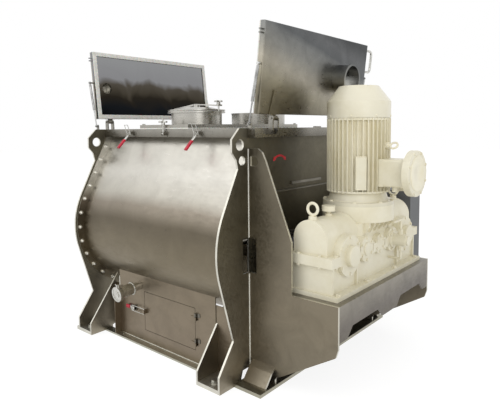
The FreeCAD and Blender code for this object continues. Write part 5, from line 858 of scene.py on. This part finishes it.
def arrow_band(radius, width, half, thick):
    """Flat curved arrow in the YZ plane round the origin: a ring cut to an arc, a head at each end."""
    clear_selection()
    bpy.ops.mesh.primitive_circle_add(vertices=72, radius=(radius + width / 2) * MM, fill_type="NGON",
                                      location=(0, 0, 0))
    band = bpy.context.object
    bpy.ops.object.mode_set(mode="EDIT")
    bpy.ops.mesh.select_all(action="SELECT")
    bpy.ops.mesh.inset(thickness=width * MM, depth=0)
    limit = math.radians(half)
    pick(band, "faces", lambda place, way: place.length < radius / 2
         or abs(math.atan2(place.x, place.y)) > limit)
    bpy.ops.mesh.delete(type="FACE")
    bpy.ops.mesh.select_all(action="SELECT")
    bpy.ops.mesh.extrude_region_move(TRANSFORM_OT_translate={"value": (0, 0, thick * MM)})
    bpy.ops.mesh.select_all(action="SELECT")
    bpy.ops.mesh.normals_make_consistent(inside=False)
    bpy.ops.object.mode_set(mode="OBJECT")
    heads = []
    for side in (-1, 1):
        angle = side * (limit + width / radius)
        head = round_bar("Z", (0, 0, 0), thick, width * 1.5, 3)
        turn = Matrix.Translation((radius * MM * math.sin(angle), radius * MM * math.cos(angle), 0))
        heads.append(placed(head, turn @ Matrix.Rotation(-angle - side * math.pi / 2, 4, "Z")))
    stand = Matrix(((0, 0, 1, 0), (1, 0, 0, 0), (0, 1, 0, 0), (0, 0, 0, 1)))
    return placed(merged([band] + heads), stand)


class MIXER_OT_arrows(bpy.types.Operator):
    """Red curved arrows painted on the drive end plate, one above each shaft"""
    bl_idname = "mixer.arrows"
    bl_label = "Turning arrows"

    def execute(self, context):
        arrow = arrow_band(arrow_r, arrow_w, arrow_half, film)
        for name, side in (("front", -1), ("rear", 1)):
            spot = Matrix.Translation((arrow_x * MM, side * arrow_y * MM, arrow_z * MM))
            settle(copied(arrow, spot), "arrow_" + name, "arrow", "mixer_frame")
        bpy.data.objects.remove(arrow)
        return {"FINISHED"}


# Motor, in millimetres and degrees: axis, lifting eye, nameplate, cowl screws and terminal box
motor_x = 1121
eye_z, eye_r, eye_bar, eye_out, eye_tilt = 1386, 22.5, 6, 235, 48
plate_turn, plate_half, plate_face = 33, 29, -197.5
plate_z0, plate_z1, rivet_in_x, rivet_in_z = 1128, 1322, 2, 17
cowl_screws, cowl_screw_x, cowl_screw_z = 8, 194, 1565
box_x, box_z, box_panel_r, box_panel_t = 1500, 1225, 104, 6.5


class MIXER_OT_motor_trim(bpy.types.Operator):
    """Motor's lifting eye, cowl screws, nameplate rim with rivets and raised terminal box panel"""
    bl_idname = "mixer.motor_trim"
    bl_label = "Motor trim"

    def execute(self, context):
        boss = rounded(round_bar("X", (motor_x + 172, 0, eye_z), 32, 20), 4)
        collar = rounded(round_bar("X", (motor_x + 202, 0, eye_z), 14, 12), 3)
        clear_selection()
        bpy.ops.mesh.primitive_torus_add(major_radius=eye_r * MM, minor_radius=eye_bar * MM,
                                         major_segments=40, minor_segments=14,
                                         location=((motor_x + eye_out) * MM, 0, eye_z * MM),
                                         rotation=(math.radians(eye_tilt), 0, 0))
        ring = bpy.context.object
        apply_place(ring)
        self.fix(merged([boss, collar, ring]), "motor_eye")

        motor = Matrix.Translation((motor_x * MM, 0, 0))
        plate = []
        for x in (rivet_in_x - plate_half, plate_half - rivet_in_x):
            for z in (plate_z0 + rivet_in_z, plate_z1 - rivet_in_z):
                plate.append(rounded(round_bar("Y", (x, plate_face - 2, z), 3, 3.5, 16), 1))
        corners = ((-plate_half, plate_z0), (plate_half, plate_z0), (plate_half, plate_z1),
                   (-plate_half, plate_z1))
        rim = bent_tube([(x, plate_face, z) for x, z in corners], 2.0, 4, closed=True, sides=2)
        turn = motor @ Matrix.Rotation(math.radians(plate_turn), 4, "Z")
        self.fix(placed(merged(plate + [rim]), turn), "nameplate_rim")

        screws = []
        for i in range(cowl_screws):
            screw = rounded(round_bar("X", (cowl_screw_x, 0, cowl_screw_z), 5, 6, 6), 1)
            around = Matrix.Rotation(math.radians(15 + 360 / cowl_screws * i), 4, "Z")
            screws.append(placed(screw, motor @ around))
        self.fix(merged(screws), "cowl_screws")

        panel = round_bar("X", (box_x, 0, box_z), box_panel_t, box_panel_r, 64)
        bpy.ops.object.mode_set(mode="EDIT")
        pick(panel, "faces", lambda place, way: way.x > 0.9)
        bpy.ops.mesh.inset(thickness=10 * MM, depth=1.5 * MM)
        bpy.ops.mesh.inset(thickness=48 * MM, depth=0)
        bpy.ops.mesh.inset(thickness=3 * MM, depth=-2 * MM)
        bpy.ops.object.mode_set(mode="OBJECT")
        self.fix(rounded(panel, 2), "terminal_box_panel")
        return {"FINISHED"}

    def fix(self, piece, name):
        """Cream enamel, carried by the machine's frame."""
        settle(piece, name, "casting", "mixer_frame")


# Stage: lamps (name, place, size, power), their aim, and the photo's camera, in metres and degrees
lamps = (("key", (-3.5, -6.0, 6.0), 7.5, 190.0), ("fill", (6.0, -4.0, 4.0), 4.0, 90.0))
lamp_aim = (0.2, 0.0, 0.9)
world_light = 0.72
camera_place = (2.6118, -2.8043, 1.5)
camera_turn, camera_pitch, camera_roll = 40.34, 85.35, -0.5445
camera_shift = -0.083


def seen_ray(tree):
    """One for rays from the camera, from a reflection or through a surface."""
    ray = add(tree, "LightPath")
    seen = add(tree, "Math", {"operation": "ADD", "use_clamp": True},
               {0: ray.outputs["Is Camera Ray"], 1: ray.outputs["Is Glossy Ray"]})
    return add(tree, "Math", {"operation": "ADD", "use_clamp": True},
               {0: seen.outputs[0], 1: ray.outputs["Is Transmission Ray"]}).outputs[0]


class MIXER_OT_stage(bpy.types.Operator):
    """Pale floor, soft studio lamps, world and camera"""
    bl_idname = "mixer.stage"
    bl_label = "Stage"

    def execute(self, context):
        sizes = context.scene.mixer_sizes
        clear_selection()
        bpy.ops.mesh.primitive_plane_add(size=sizes.floor_size, location=(0, 0, 0))
        floor = context.object
        floor.name = "studio_floor"
        material, tree = new_material("pale_studio_floor")
        paper = add(tree, "BsdfDiffuse", {"Color": linear("F4F4F2")})
        shine = add(tree, "Emission", {"Color": linear("FFFFFF"), "Strength": 1.2})
        shown = add(tree, "MixShader", {0: 0.72}, {1: paper.outputs[0], 2: shine.outputs[0]})
        both = add(tree, "MixShader", None, {0: seen_ray(tree), 1: paper.outputs[0],
                                             2: shown.outputs[0]})
        add(tree, "OutputMaterial", None, {"Surface": both.outputs[0]})
        floor.data.materials.append(material)

        world = context.scene.world or bpy.data.worlds.new("studio")
        context.scene.world = world
        world.use_nodes = True
        tree = world.node_tree
        tree.nodes.clear()
        light = add(tree, "Background", {"Color": linear("FFFFFF"), "Strength": world_light})
        shown = add(tree, "Background", {"Color": linear("FFFFFF"), "Strength": 1.0})
        both = add(tree, "MixShader", None, {0: seen_ray(tree), 1: light.outputs[0],
                                             2: shown.outputs[0]})
        add(tree, "OutputWorld", None, {"Surface": both.outputs[0]})

        for name, place, size, power in lamps:
            aim = Vector(lamp_aim) - Vector(place)
            bpy.ops.object.light_add(type="AREA", location=place)
            lamp = context.object
            lamp.name = name + "_lamp"
            lamp.rotation_euler = aim.to_track_quat("-Z", "Y").to_euler()
            lamp.data.size = size
            lamp.data.energy = power

        bpy.ops.object.camera_add(location=camera_place)
        camera = context.object
        camera.name = "photo_camera"
        turn = Matrix.Translation(camera_place)
        for degrees, axis in ((camera_turn, "Z"), (camera_pitch, "X"), (camera_roll, "Z")):
            turn = turn @ Matrix.Rotation(math.radians(degrees), 4, axis)
        camera.matrix_world = turn
        camera.data.lens = sizes.lens
        camera.data.sensor_width = 36.0
        camera.data.shift_y = camera_shift
        camera.data.dof.use_dof = False
        context.scene.camera = camera
        context.scene.view_settings.view_transform = "Standard"
        return {"FINISHED"}


operators = (MIXER_OT_stage, MIXER_OT_finishes, MIXER_OT_lid_seals, MIXER_OT_lid_fittings,
             MIXER_OT_star_knobs, MIXER_OT_latches, MIXER_OT_ring_nuts, MIXER_OT_foot_back_plates,
             MIXER_OT_weld_seams, MIXER_OT_arrows, MIXER_OT_motor_trim)


class MIXER_PT_panel(bpy.types.Panel):
    """Sizes, colours and steps of the mixer"""
    bl_label = "Paddle mixer"
    bl_idname = "MIXER_PT_panel"
    bl_space_type = "VIEW_3D"
    bl_region_type = "UI"
    bl_category = "Mixer"

    def draw(self, context):
        for group in (context.scene.mixer_sizes, context.scene.mixer_colours):
            for key in group.__annotations__:
                self.layout.prop(group, key)
        for operator in operators:
            self.layout.operator(operator.bl_idname)


classes = (MixerSizes, MixerColours) + operators + (MIXER_PT_panel,)


def register():
    for item in classes:
        bpy.utils.register_class(item)
    bpy.types.Scene.mixer_sizes = PointerProperty(type=MixerSizes)
    bpy.types.Scene.mixer_colours = PointerProperty(type=MixerColours)


def unregister():
    del bpy.types.Scene.mixer_colours
    del bpy.types.Scene.mixer_sizes
    for item in reversed(classes):
        bpy.utils.unregister_class(item)


def main():
    """Register the add-on and run its operators in order."""
    register()
    for operator in operators:
        group, name = operator.bl_idname.split(".")
        getattr(getattr(bpy.ops, group), name)()


if __name__ == "__main__":
    main()
